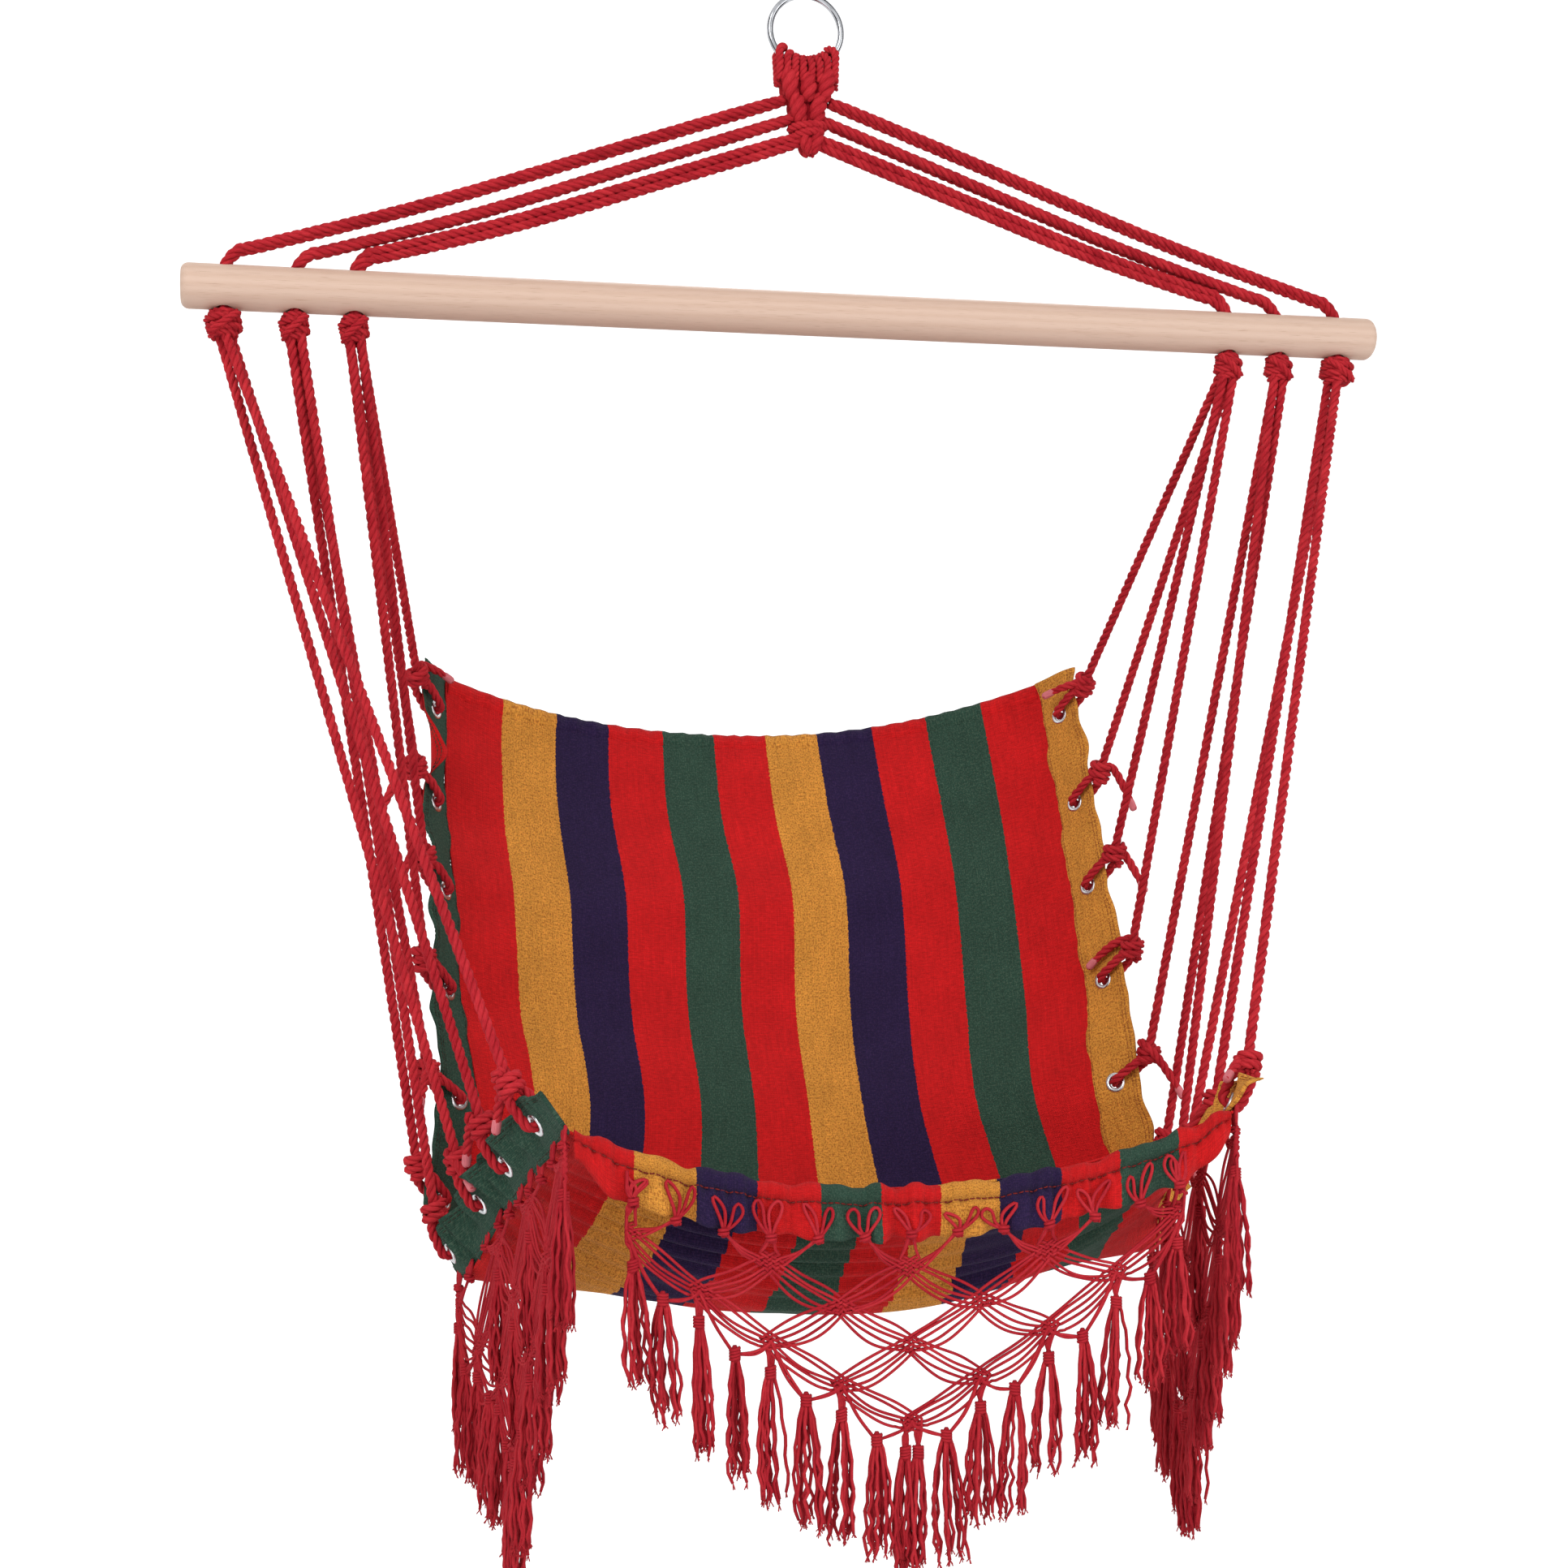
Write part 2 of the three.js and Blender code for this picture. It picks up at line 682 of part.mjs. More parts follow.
// The net's gaps, along the seam and below it
function netGaps(half, { knots, firstDrop, rowDrop }) {
  const pitch = (2 * half) / (knots - 1);
  const node = (row, k) => [(k + row / 2) * pitch - half, -firstDrop - row * rowDrop];
  const gaps = [];
  const width = bundleWidth / 2;
  const shrink = (corners) => {
    const share = 1 / corners.length;
    const middle = corners.reduce(([a, b], [x, y]) => [a + x * share, b + y * share], [0, 0]);
    const reach = (pitch * rowDrop) / 2 / Math.hypot(pitch / 2, rowDrop);
    const keep = 1 - width / reach;
    return corners.map(([x, y]) => [mix(middle[0], x, keep), mix(middle[1], y, keep)]);
  };
  for (let row = 0; row + 2 < knots; row += 1) {
    for (let k = 1; k + row + 1 < knots; k += 1) {
      gaps.push(shrink([node(row, k), node(row + 1, k), node(row + 2, k - 1), node(row + 1, k - 1)]));
    }
  }
  const low = -firstDrop + loopWidth / 2;
  for (let k = 0; k < knots; k += 1) {
    const [x] = node(0, k);
    for (const lean of [-1, 1]) {
      const far = x + lean * loopSpread;
      if (Math.abs(far) < half) {
        const near = x + (lean * loopWidth) / 2;
        gaps.push([
          [near, -headerHeight],
          [near + (lean * loopWidth) / 2, low],
          [far - lean * loopWidth, -headerHeight],
        ]);
      }
    }
    if (k > 0) {
      const left = node(0, k - 1)[0] + loopSpread;
      const right = x - loopSpread;
      const [middle, bottom] = node(1, k - 1);
      gaps.push([
        [left, -headerHeight],
        [right, -headerHeight],
        [x - bundleWidth, -firstDrop],
        [middle, bottom + bundleWidth],
        [x - pitch + bundleWidth, -firstDrop],
      ]);
    }
  }
  return { gaps, node };
}

// Tassels under the knots along the net's V, two under the lowest, and one half-way between each two
function tasselPlaces(knots, node, hangAt) {
  const places = [];
  for (const lean of [-1, 1]) {
    const edge = Array.from({ length: knots }, (_, row) => node(row, lean < 0 ? 0 : knots - 1 - row));
    edge.forEach(([x, y], row) => {
      const end = row === 0 || row === knots - 1;
      const shift = end ? (row ? 1 : -1) * lean * (tasselSpread / 2) : 0;
      places.push(hangAt([x + shift, y]));
      if (row > 0) {
        const [beforeX, beforeY] = edge[row - 1];
        const height = mix(hangAt([beforeX, beforeY]).z, hangAt([x, y]).z, 1 / 2);
        places.push(hangAt([mix(beforeX, x, 1 / 2), 0]).setZ(height));
      }
    });
  }
  return places;
}

function makeFringe(name, stations, facing, form) {
  const { at, half, places } = seamLine(stations, facing);
  const { gaps, node } = netGaps(half, form);
  const { knots } = form;
  const outline = places.map((x) => [x, 0]);
  const width = bundleWidth / 2;
  for (let row = 0; row < knots - 1; row += 1) {
    const [x, y] = node(row, knots - 1 - row);
    outline.push([row === 0 ? x : x + width, y - (row === 0 ? 0 : width / 2)]);
  }
  const [tipX, tipY] = node(knots - 1, 0);
  outline.push([tipX, tipY - width]);
  for (let row = knots - 2; row >= 0; row -= 1) {
    const [x, y] = node(row, 0);
    outline.push([row === 0 ? x : x - width, y - (row === 0 ? 0 : width / 2)]);
  }
  const hung = ([x, y]) => new THREE.Vector2(x, at(x).z + y);
  const shape = new THREE.Shape(outline.map(hung).reverse());
  for (const gap of gaps) {
    shape.holes.push(new THREE.Path(gap.map(hung)));
  }
  const net = new THREE.ExtrudeGeometry(shape, { depth: bundleThickness, bevelEnabled: false });
  const corners = net.attributes.position;
  for (let i = 0; i < corners.count; i += 1) {
    const point = at(corners.getX(i)).setZ(corners.getY(i));
    point.addScaledVector(facing, corners.getZ(i) - bundleThickness / 2);
    corners.setXYZ(i, point.x, point.y, point.z);
  }
  const hangAt = ([x, y]) => at(x).add(vec(0, 0, y));
  const knotRadii = vec(netKnotWidth / 2, netKnotDepth / 2, netKnotHeight / 2);
  const pieces = [turnedOut(net)];
  for (let row = 1; row < knots; row += 1) {
    for (let k = 0; k < knots - row; k += 1) {
      pieces.push(lobe(hangAt(node(row, k)), knotRadii, netKnotSides, netKnotBands));
    }
  }
  pieces.push(...tasselPlaces(knots, node, hangAt).map(tassel));
  addMesh(name, joined(pieces), ropeLook);
}

function turnedOut(geometry) {
  const merged = welded(geometry);
  const position = merged.attributes.position;
  const corners = Array.from({ length: position.count }, (_, i) => {
    return vec(0, 0, 0).fromBufferAttribute(position, i);
  });
  const index = Array.from(merged.index.array);
  const faces = index.filter((_, i) => i % 3 === 0).map((_, i) => index.slice(3 * i, 3 * i + 3));
  return closedBody(corners, faces);
}

const netFirstDrop = 18;
const frontRowDrop = 26;
const sideRowDrop = 50;
const frontFringe = { knots: 5, firstDrop: netFirstDrop, rowDrop: frontRowDrop };
const sideFringe = { knots: 4, firstDrop: netFirstDrop, rowDrop: sideRowDrop };
const sideFringeFirst = 19;
const headerOut = hemThickness / 2 + seatGap + bundleThickness / 2;
const headerUnder = 1;

function makeFringes(bandLine) {
  const lowered = bandLine.map((point) => point.clone().sub(vec(0, 0, seatGap)));
  makeFringe('front_fringe', lowered, vec(0, 1, 0), frontFringe);
  for (const side of [-1, 1]) {
    const seam = hemStations(side).slice(sideFringeFirst).map(({ centre, outward }) => {
      const point = centre.clone().addScaledVector(outward, -hemWidth / 2);
      return point.add(vec(side * headerOut, 0, -headerUnder));
    });
    makeFringe(`side_fringe_${sideName(side)}`, seam, vec(1, 0, 0), sideFringe);
  }
}

makeRing();
makeHitches();
makeClew();
makeBar();
for (const side of [-1, 1]) {
  for (const place of Object.keys(holeXs)) {
    makeFan(place, side);
  }
  makeHem(side);
  makeEyelets(side);
  makeSeatRopes(side);
}
const clothRows = makeSeatCloth();
makeFringes(makeFrontBand(clothRows));

export default chair;
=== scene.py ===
# Hammock chair: striped sling on red three-strand ropes, under a pale wooden bar and a steel ring.
# Metres, +Z up, the front of the seat towards -Y. Every piece sits where the CAD frame puts it.
import json
import math

import bmesh
import bpy
import numpy as np
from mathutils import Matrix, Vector


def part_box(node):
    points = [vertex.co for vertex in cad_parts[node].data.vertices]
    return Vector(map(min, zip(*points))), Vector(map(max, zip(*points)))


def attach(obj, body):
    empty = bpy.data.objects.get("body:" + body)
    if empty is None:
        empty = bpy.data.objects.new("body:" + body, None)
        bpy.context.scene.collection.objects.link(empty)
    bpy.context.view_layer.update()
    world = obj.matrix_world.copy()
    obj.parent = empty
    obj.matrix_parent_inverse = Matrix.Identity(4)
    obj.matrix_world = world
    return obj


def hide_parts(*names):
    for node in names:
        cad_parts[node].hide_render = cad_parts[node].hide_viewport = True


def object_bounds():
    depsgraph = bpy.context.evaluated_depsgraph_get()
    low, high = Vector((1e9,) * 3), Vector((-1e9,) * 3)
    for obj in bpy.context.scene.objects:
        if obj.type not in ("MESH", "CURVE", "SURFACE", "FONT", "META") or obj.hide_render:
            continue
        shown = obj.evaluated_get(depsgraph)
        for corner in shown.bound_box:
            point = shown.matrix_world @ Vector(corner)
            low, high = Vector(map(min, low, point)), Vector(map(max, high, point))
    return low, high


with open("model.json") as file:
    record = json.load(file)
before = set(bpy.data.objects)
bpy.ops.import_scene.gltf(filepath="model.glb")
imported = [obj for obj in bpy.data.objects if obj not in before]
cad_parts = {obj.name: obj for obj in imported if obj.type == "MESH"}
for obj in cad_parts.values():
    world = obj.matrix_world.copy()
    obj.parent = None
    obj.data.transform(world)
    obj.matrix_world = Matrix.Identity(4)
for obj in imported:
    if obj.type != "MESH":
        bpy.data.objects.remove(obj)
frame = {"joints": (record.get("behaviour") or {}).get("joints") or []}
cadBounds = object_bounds()
knotDrop = -next(joint["pos_m"][2] for joint in frame["joints"] if joint["name"] == "sling_swing")
upAxis = np.array([0.0, 0.0, 1.0])
fullTurn = 2 * math.pi
sideNames = {-1: "left", 1: "right"}


# Small numeric tools

def unit(v):
    return v / np.linalg.norm(v, axis=-1, keepdims=True)


def point(x, y, z):
    return np.array([x, y, z], float)


def boxMiddle(node):
    low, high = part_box(node)
    return np.array((low + high) / 2, float)


def smoothStep(t):
    t = np.clip(t, 0, 1)
    return t * t * (3 - 2 * t)


def waved(x, *waves):
    # A sum of sine waves: size, pace, phase, and how far and how fast a second wave shifts each
    total = 0
    for size, pace, phase, drift, driftPace in waves:
        total = total + size * np.sin(x * pace + phase + drift * np.sin(x * driftPace))
    return total


def circle(count):
    return np.arange(count) / count * fullTurn


def around(turn, a, b):
    return np.cos(turn)[:, None] * a + np.sin(turn)[:, None] * b


def spokes(turn, a, b):
    # The same turn at every point of a path, with its own two directions there
    return np.cos(turn)[None, :, None] * a[:, None] + np.sin(turn)[None, :, None] * b[:, None]


def distances(path):
    return np.concatenate([[0], np.cumsum(np.linalg.norm(np.diff(path, axis=0), axis=1))])


def evenly(path, step):
    far = distances(path)
    at = np.linspace(0, far[-1], max(int(round(far[-1] / step)), 2) + 1)
    return np.stack([np.interp(at, far, path[:, k]) for k in range(path.shape[1])], 1)


def smoothPath(points, step):
    # A curve through every point, cut into even steps
    p = np.asarray(points, float)
    p = np.vstack([2 * p[0] - p[1], p, 2 * p[-1] - p[-2]])
    t = np.linspace(0, 1, 10, endpoint=False)[:, None]
    runs = []
    for a, b, c, d in zip(p, p[1:], p[2:], p[3:]):
        runs.append(0.5 * (2 * b + (c - a) * t + (2 * a - 5 * b + 4 * c - d) * t**2 + (3 * b - a - 3 * c + d) * t**3))
    return evenly(np.vstack(runs + [p[-2:-1]]), step)


def pathFrames(path):
    # Two directions square to the path at each point, carried along without twist
    tangent = unit(np.gradient(path, axis=0))
    across = np.zeros_like(path)
    a = np.eye(3)[np.argmin(np.abs(tangent[0]))]
    for i, t in enumerate(tangent):
        a = a - t * a.dot(t)
        a = a / np.linalg.norm(a)
        across[i] = a
    return across, np.cross(tangent, across)


# Meshes

class Heap:
    # Gathers tubes into one mesh, with a map of places in metres
    def __init__(self):
        self.verts, self.faces, self.maps, self.tones, self.count = [], [], [], [], 0

    def tube(self, path, radius, sides, tone=0.5):
        path = np.asarray(path, float)
        radius = np.broadcast_to(radius, len(path))
        angle = circle(sides)
        verts = path[:, None] + spokes(angle, *pathFrames(path)) * radius[:, None, None]
        girth = angle[None, :] * radius[:, None]
        self.verts.append(verts.reshape(-1, 3))
        self.maps.append(np.stack([girth, np.broadcast_to(distances(path)[:, None], girth.shape)], 2).reshape(-1, 2))
        self.tones.append(np.full(girth.size, tone))
        self.faces.extend([[i + self.count for i in face] for face in tubeFaces(len(path), sides)])
        self.count += girth.size

    def piece(self, name, material):
        places, tones = np.vstack(self.maps), np.concatenate(self.tones)
        return makeMesh(name, np.vstack(self.verts), self.faces, material, places, tones)


def tubeFaces(rings, sides, closed=False):
    # Squares between rings of points, with the two ends capped or else joined to each other
    faces = []
    for i in range(rings if closed else rings - 1):
        low, high = i * sides, (i + 1) % rings * sides
        for j in range(sides):
            k = (j + 1) % sides
            faces.append([low + j, low + k, high + k, high + j])
    if not closed:
        faces += [list(range(sides))[::-1], list(range((rings - 1) * sides, rings * sides))]
    return faces


def gridFaces(rows, columns):
    return [[i * columns + j, i * columns + j + 1, (i + 1) * columns + j + 1, (i + 1) * columns + j]
            for i in range(rows - 1) for j in range(columns - 1)]


def makeMesh(name, verts, faces, material, places=None, tones=None):
    verts = np.reshape(verts, (-1, 3))
    places = np.zeros((len(verts), 2)) if places is None else np.reshape(places, (-1, 2))
    tones = np.full(len(verts), 0.5) if tones is None else tones
    mesh = bpy.data.meshes.new(name)
    mesh.from_pydata(verts.tolist(), [], faces)
    corner = np.zeros(len(mesh.loops), np.int32)
    mesh.loops.foreach_get("vertex_index", corner)
    layer = mesh.uv_layers.new(name="places")
    layer.uv.foreach_set("vector", places[corner].astype(np.float32).ravel())
    tone = mesh.attributes.new("tone", "FLOAT", "POINT")
    tone.data.foreach_set("value", np.asarray(tones, np.float32))
    mesh.shade_smooth()
    mesh.validate()
    mesh.update()
    mesh.materials.append(material)
    return placed(name, mesh)


def placed(name, data):
    item = bpy.data.objects.new(name, data)
    bpy.context.scene.collection.objects.link(item)
    return item


def applied(piece, kind, **values):
    modifier = piece.modifiers.new(kind.lower(), kind)
    for key, value in values.items():
        setattr(modifier, key, value)
    bpy.context.view_layer.update()
    depsgraph = bpy.context.evaluated_depsgraph_get()
    mesh = bpy.data.meshes.new_from_object(piece.evaluated_get(depsgraph))
    piece.modifiers.clear()
    piece.data = mesh
    return piece


def bored(piece, holes, radius, depth, segments):
    # Straight holes, each given by its middle and three directions, the last one along the hole
    drill = bmesh.new()
    for middle, directions in holes:
        made = bmesh.ops.create_cone(
            drill, cap_ends=True, segments=segments, radius1=radius, radius2=radius, depth=depth)
        for vert in made["verts"]:
            vert.co = Vector(directions @ np.array(vert.co) + middle)
    mesh = bpy.data.meshes.new("drill")
    drill.to_mesh(mesh)
    cutter = placed("drill", mesh)
    applied(piece, "BOOLEAN", operation="DIFFERENCE", object=cutter, solver="EXACT")
    bpy.data.objects.remove(cutter)
    piece.data.shade_smooth()


def hang(piece, body, nodes=()):
    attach(piece, body)
    if nodes:
        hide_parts(*nodes)
    return piece


# Offset and radius are shares of the rope's radius
strand = {"plies": 3, "offset": 0.52, "radius": 0.5, "toneStep": 0.04}


def twistedRope(heap, path, radius, lay, sides=7, turn=0.0, tone=0.5, taper=1.0):
    # Strands that wind round one path, each a tube of its own
    a, b = pathFrames(path)
    far = distances(path)
    for ply in range(strand["plies"]):
        angle = turn + far / lay * fullTurn + ply / strand["plies"] * fullTurn
        offset = radius * strand["offset"] * taper
        centre = path + around(angle, a, b) * np.reshape(offset, (-1, 1))
        heap.tube(centre, radius * strand["radius"] * taper, sides, tone + strand["toneStep"] * (ply - 1))


def ropeLoop(heap, centre, axis, radius, cord, lay, tone=0.5):
    # A closed turn of rope about an axis through centre
    side = unit(np.cross(axis, upAxis)) if abs(axis[2]) < 0.9 else point(1, 0, 0)
    turn = np.linspace(0, fullTurn, 41)
    twistedRope(heap, centre + radius * around(turn, side, np.cross(axis, side)), cord, lay, sides=6, tone=tone)


# Materials

def linear(red, green, blue):
    def channel(c):
        c = c / 255
        return c / 12.92 if c <= 0.04045 else ((c + 0.055) / 1.055) ** 2.4
    return channel(red), channel(green), channel(blue), 1.0


def setInputs(tree, node, inputs):
    for key, value in inputs.items():
        if isinstance(value, bpy.types.NodeSocket):
            tree.links.new(value, node.inputs[key])
        else:
            node.inputs[key].default_value = value


def addNode(tree, kind, inputs=None, **settings):
    node = tree.nodes.new(kind)
    for key, value in settings.items():
        setattr(node, key, value)
    setInputs(tree, node, inputs or {})
    return node


def maths(tree, operation, a, b=0.0, clamp=False):
    return addNode(tree, "ShaderNodeMath", {0: a, 1: b}, operation=operation, use_clamp=clamp).outputs[0]


def mixed(tree, factor, a, b, blend="MIX"):
    inputs = {0: factor, 6: a, 7: b}
    return addNode(tree, "ShaderNodeMix", inputs, data_type="RGBA", blend_type=blend, clamp_factor=True).outputs[2]


def remapped(tree, value, given, wanted=(0.0, 1.0)):
    inputs = {0: value, 1: given[0], 2: given[1], 3: wanted[0], 4: wanted[1]}
    return addNode(tree, "ShaderNodeMapRange", inputs).outputs[0]


def scaled(tree, vector, scales):
    return addNode(tree, "ShaderNodeVectorMath", {0: vector, 1: scales}, operation="MULTIPLY").outputs[0]


def noise(tree, vector, scale, detail):
    return addNode(tree, "ShaderNodeTexNoise", {"Vector": vector, "Scale": scale, "Detail": detail}).outputs[0]


def bumped(tree, height, distance, strength):
    return addNode(tree, "ShaderNodeBump", {"Height": height, "Distance": distance, "Strength": strength}).outputs[0]


def mapPlaces(tree):
    return addNode(tree, "ShaderNodeUVMap", uv_map="places").outputs[0]


def objectSpace(tree):
    return addNode(tree, "ShaderNodeTexCoord").outputs["Object"]


def newGroup(name, inputs, outputs):
    tree = bpy.data.node_groups.new(name, "ShaderNodeTree")
    for label, kind, value in inputs:
        socket = tree.interface.new_socket(name=label, in_out="INPUT", socket_type=kind)
        if value is not None:
            socket.default_value = value
    for label, kind in outputs:
        tree.interface.new_socket(name=label, in_out="OUTPUT", socket_type=kind)
    return tree, tree.nodes.new("NodeGroupInput").outputs, tree.nodes.new("NodeGroupOutput")


def useGroup(tree, group, inputs):
    return addNode(tree, "ShaderNodeGroup", inputs, node_tree=group).outputs


def newMaterial(name, values):
    material = bpy.data.materials.new(name)
    material.use_nodes = True
    tree = material.node_tree
    principled = tree.nodes["Principled BSDF"]
    setInputs(tree, principled, values)
    return material, tree, principled


fibreLook = {
    "lengthShare": 0.12, "detail": 2.0, "driftScale": 38.0, "driftDetail": 3.0, "fibreShare": 0.6, "driftShare": 0.4,
    "dark": (0.02, 0.0, 0.005, 1), "light": (1, 0.3, 0.28, 1), "lightShare": 0.16, "range": (0.3, 0.72),
}


def fibreGroup():
    # Fine fibres along a strand, with a slow drift of shade, for ropes, cords and yarn
    look = fibreLook
    tree, put, out = newGroup("fibres", [
        ("Colour", "NodeSocketColor", None), ("Fibre width", "NodeSocketFloat", 0.0003),
        ("Contrast", "NodeSocketFloat", 0.3), ("Fuzz", "NodeSocketFloat", 0.0002),
    ], [("Colour", "NodeSocketColor"), ("Normal", "NodeSocketVector")])
    scale = maths(tree, "DIVIDE", 1.0, put["Fibre width"])
    scales = {0: scale, 1: maths(tree, "MULTIPLY", scale, look["lengthShare"]), 2: 1.0}
    along = addNode(tree, "ShaderNodeCombineXYZ", scales).outputs[0]
    fibres = noise(tree, scaled(tree, mapPlaces(tree), along), 1.0, look["detail"])
    drift = noise(tree, objectSpace(tree), look["driftScale"], look["driftDetail"])
    tone = addNode(tree, "ShaderNodeAttribute", attribute_name="tone").outputs["Fac"]
    shade = maths(tree, "ADD", maths(tree, "MULTIPLY", fibres, look["fibreShare"]),
                  maths(tree, "MULTIPLY", drift, look["driftShare"]))
    # The tone attribute moves the shade: at random from strand to strand, and well down on the filler cores as
    # painted shade
    shade = maths(tree, "ADD", shade, maths(tree, "SUBTRACT", tone, 0.5))
    dark = mixed(tree, put["Contrast"], put["Colour"], look["dark"])
    light = mixed(tree, maths(tree, "MULTIPLY", put["Contrast"], look["lightShare"]), put["Colour"], look["light"])
    setInputs(tree, out, {
        "Colour": mixed(tree, remapped(tree, shade, look["range"]), dark, light),
        "Normal": bumped(tree, fibres, put["Fuzz"], 1.0),
    })
    return tree


weaveLook = {
    # Noise: threads per blot across and along as shares, detail, the range it is read in, and the values that gives
    "flecks": ((1.0, 0.7), 2.0, (0.48, 0.62), (0.0, 1.0)),
    "rows": ((0.22, 0.8), 3.0, (0.32, 0.7), (0.8, 1.1)),
    "streaks": ((0.7, 0.03), 2.0, (0.3, 0.7), (0.9, 1.08)),
    "cloud": ((0.03, 0.03), 3.0, (0.3, 0.7), (0.9, 1.06)),
    "pitRange": (0.0, 0.6), "pitShades": (0.8, 1.03), "rowHeight": 0.9, "strength": 0.9,
}


def weaveGroup():
    # Plain weave in metres on the map: crossing threads with painted shade in the pits between them, slubby weft rows
    # and flecks of another colour
    tree, put, out = newGroup("weave", [
        ("Colour", "NodeSocketColor", None), ("Fleck colour", "NodeSocketColor", None),
        ("Fleck", "NodeSocketFloat", 0.2), ("Thread", "NodeSocketFloat", 0.0011),
        ("Depth", "NodeSocketFloat", 0.0003),
    ], [("Colour", "NodeSocketColor"), ("Normal", "NodeSocketVector")])
    places = mapPlaces(tree)
    per = maths(tree, "DIVIDE", 1.0, put["Thread"])
    turns = maths(tree, "MULTIPLY", per, math.pi)
    parts = addNode(tree, "ShaderNodeSeparateXYZ", {0: places}).outputs
    warp, weft = (maths(tree, "SINE", maths(tree, "MULTIPLY", parts[k], turns)) for k in (0, 1))
    cross = maths(tree, "ABSOLUTE", maths(tree, "MULTIPLY", warp, weft))
    raw, shade = {}, {}
    for name in ("flecks", "rows", "streaks", "cloud"):
        shares, detail, given, wanted = weaveLook[name]
        scales = {0: maths(tree, "MULTIPLY", per, shares[0]), 1: maths(tree, "MULTIPLY", per, shares[1]), 2: 1.0}
        yarn = scaled(tree, places, addNode(tree, "ShaderNodeCombineXYZ", scales).outputs[0])
        raw[name] = noise(tree, yarn, 1.0, detail)
        shade[name] = remapped(tree, raw[name], given, wanted)
    flecked = mixed(tree, maths(tree, "MULTIPLY", shade["flecks"], put["Fleck"]), put["Colour"], put["Fleck colour"])
    # Darker in the pits between the threads: painted shade
    pits = remapped(tree, cross, weaveLook["pitRange"], weaveLook["pitShades"])
    woven = maths(tree, "MULTIPLY", shade["rows"], pits)
    both = maths(tree, "MULTIPLY", woven, maths(tree, "MULTIPLY", shade["cloud"], shade["streaks"]))
    grey = addNode(tree, "ShaderNodeCombineColor", {0: both, 1: both, 2: both}).outputs[0]
    height = maths(tree, "ADD", cross, maths(tree, "MULTIPLY", raw["rows"], weaveLook["rowHeight"]))
    setInputs(tree, out, {
        "Colour": mixed(tree, 1.0, flecked, grey, "MULTIPLY"),
        "Normal": bumped(tree, height, put["Depth"], weaveLook["strength"]),
    })
    return tree


fibres = fibreGroup()
weave = weaveGroup()

yarnLook = {  # colour, fibre width, contrast, fuzz
    "rope": (linear(198, 28, 42), 0.00045, 0.46, 0.0005),
    "cord": (linear(186, 26, 41), 0.0004, 0.42, 0.0003),
    "stitch": (linear(120, 34, 30), 0.0003, 0.3, 0.0001),
    "greenStitch": (linear(30, 56, 44), 0.0003, 0.3, 0.0001),
    "ochreStitch": (linear(164, 100, 44), 0.0003, 0.3, 0.0001),
    "tape": (linear(222, 122, 130), 0.0012, 0.4, 0.0003),
}


def yarnMaterial(name):
    colour, width, contrast, fuzz = yarnLook[name]
    material, tree, shader = newMaterial(name, {"Roughness": 0.85, "Specular IOR Level": 0.12})
    made = useGroup(tree, fibres, {"Colour": colour, "Fibre width": width, "Contrast": contrast, "Fuzz": fuzz})
    setInputs(tree, shader, {"Base Color": made["Colour"], "Normal": made["Normal"]})
    return material


clothLook = {
    "colours": {
        "red": linear(212, 28, 30), "ochre": linear(228, 156, 64),
        "navy": linear(40, 27, 64), "green": linear(46, 74, 61),
    },
    "stripes": ["red", "ochre", "navy", "red", "green", "red", "ochre", "navy", "red", "green", "red"],
    "flecks": {
        "red": linear(150, 16, 26), "ochre": linear(160, 86, 36),
        "navy": linear(76, 52, 92), "green": linear(92, 112, 94),
    },
    "fleckShares": {"red": 0.2, "ochre": 0.7, "navy": 0.3, "green": 0.35},
    "thread": 0.0013, "depth": 0.0004, "edgeScale": 420.0, "stripeWander": 0.0026,
    "finish": {"Roughness": 0.9, "Specular IOR Level": 0.12, "Sheen Weight": 0.03, "Sheen Roughness": 0.5},
}


def clothMaterial(name, stripes, width):
    # Lengthwise stripes across the map's first number, which runs from 0 to width, with woven edges
    look = clothLook
    material, tree, shader = newMaterial(name, look["finish"])
    places = mapPlaces(tree)
    across = addNode(tree, "ShaderNodeSeparateXYZ", {0: places}).outputs[0]
    edge = maths(tree, "SUBTRACT", noise(tree, places, look["edgeScale"], 1.0), 0.5)
    wander = maths(tree, "MULTIPLY", edge, look["stripeWander"])
    share = maths(tree, "DIVIDE", maths(tree, "ADD", across, wander), width, clamp=True)
    amounts = {stripe: (amount,) * 3 + (1,) for stripe, amount in look["fleckShares"].items()}
    ramps = []
    for values in (look["colours"], look["flecks"], amounts):
        ramp = addNode(tree, "ShaderNodeValToRGB", {0: share})
        ramp.color_ramp.interpolation = "CONSTANT"
        elements = ramp.color_ramp.elements
        elements.remove(elements[1])
        for i, stripe in enumerate(stripes):
            element = elements[0] if i == 0 else elements.new(i / len(stripes))
            element.position = i / len(stripes)
            element.color = values[stripe]
        ramps.append(ramp.outputs[0])
    woven = useGroup(tree, weave, {"Colour": ramps[0], "Fleck colour": ramps[1], "Fleck": ramps[2],
                                   "Thread": look["thread"], "Depth": look["depth"]})
    setInputs(tree, shader, {"Base Color": woven["Colour"], "Normal": woven["Normal"]})
    return material


steelLook = {
    "ringSteel": ((0.56, 0.57, 0.60), 0.12), "eyeletSteel": ((0.72, 0.72, 0.74), 0.25),  # colour and roughness
    "smudgeScale": 90.0, "smudgeDetail": 4.0, "smudgeRange": (0.35, 0.7), "smudgeShade": 0.62,
    "roughRange": (0.3, 0.75), "roughShares": (0.8, 1.7),
    "grainScale": 1400.0, "grainDetail": 2.0, "grainDepth": 0.00004,
}


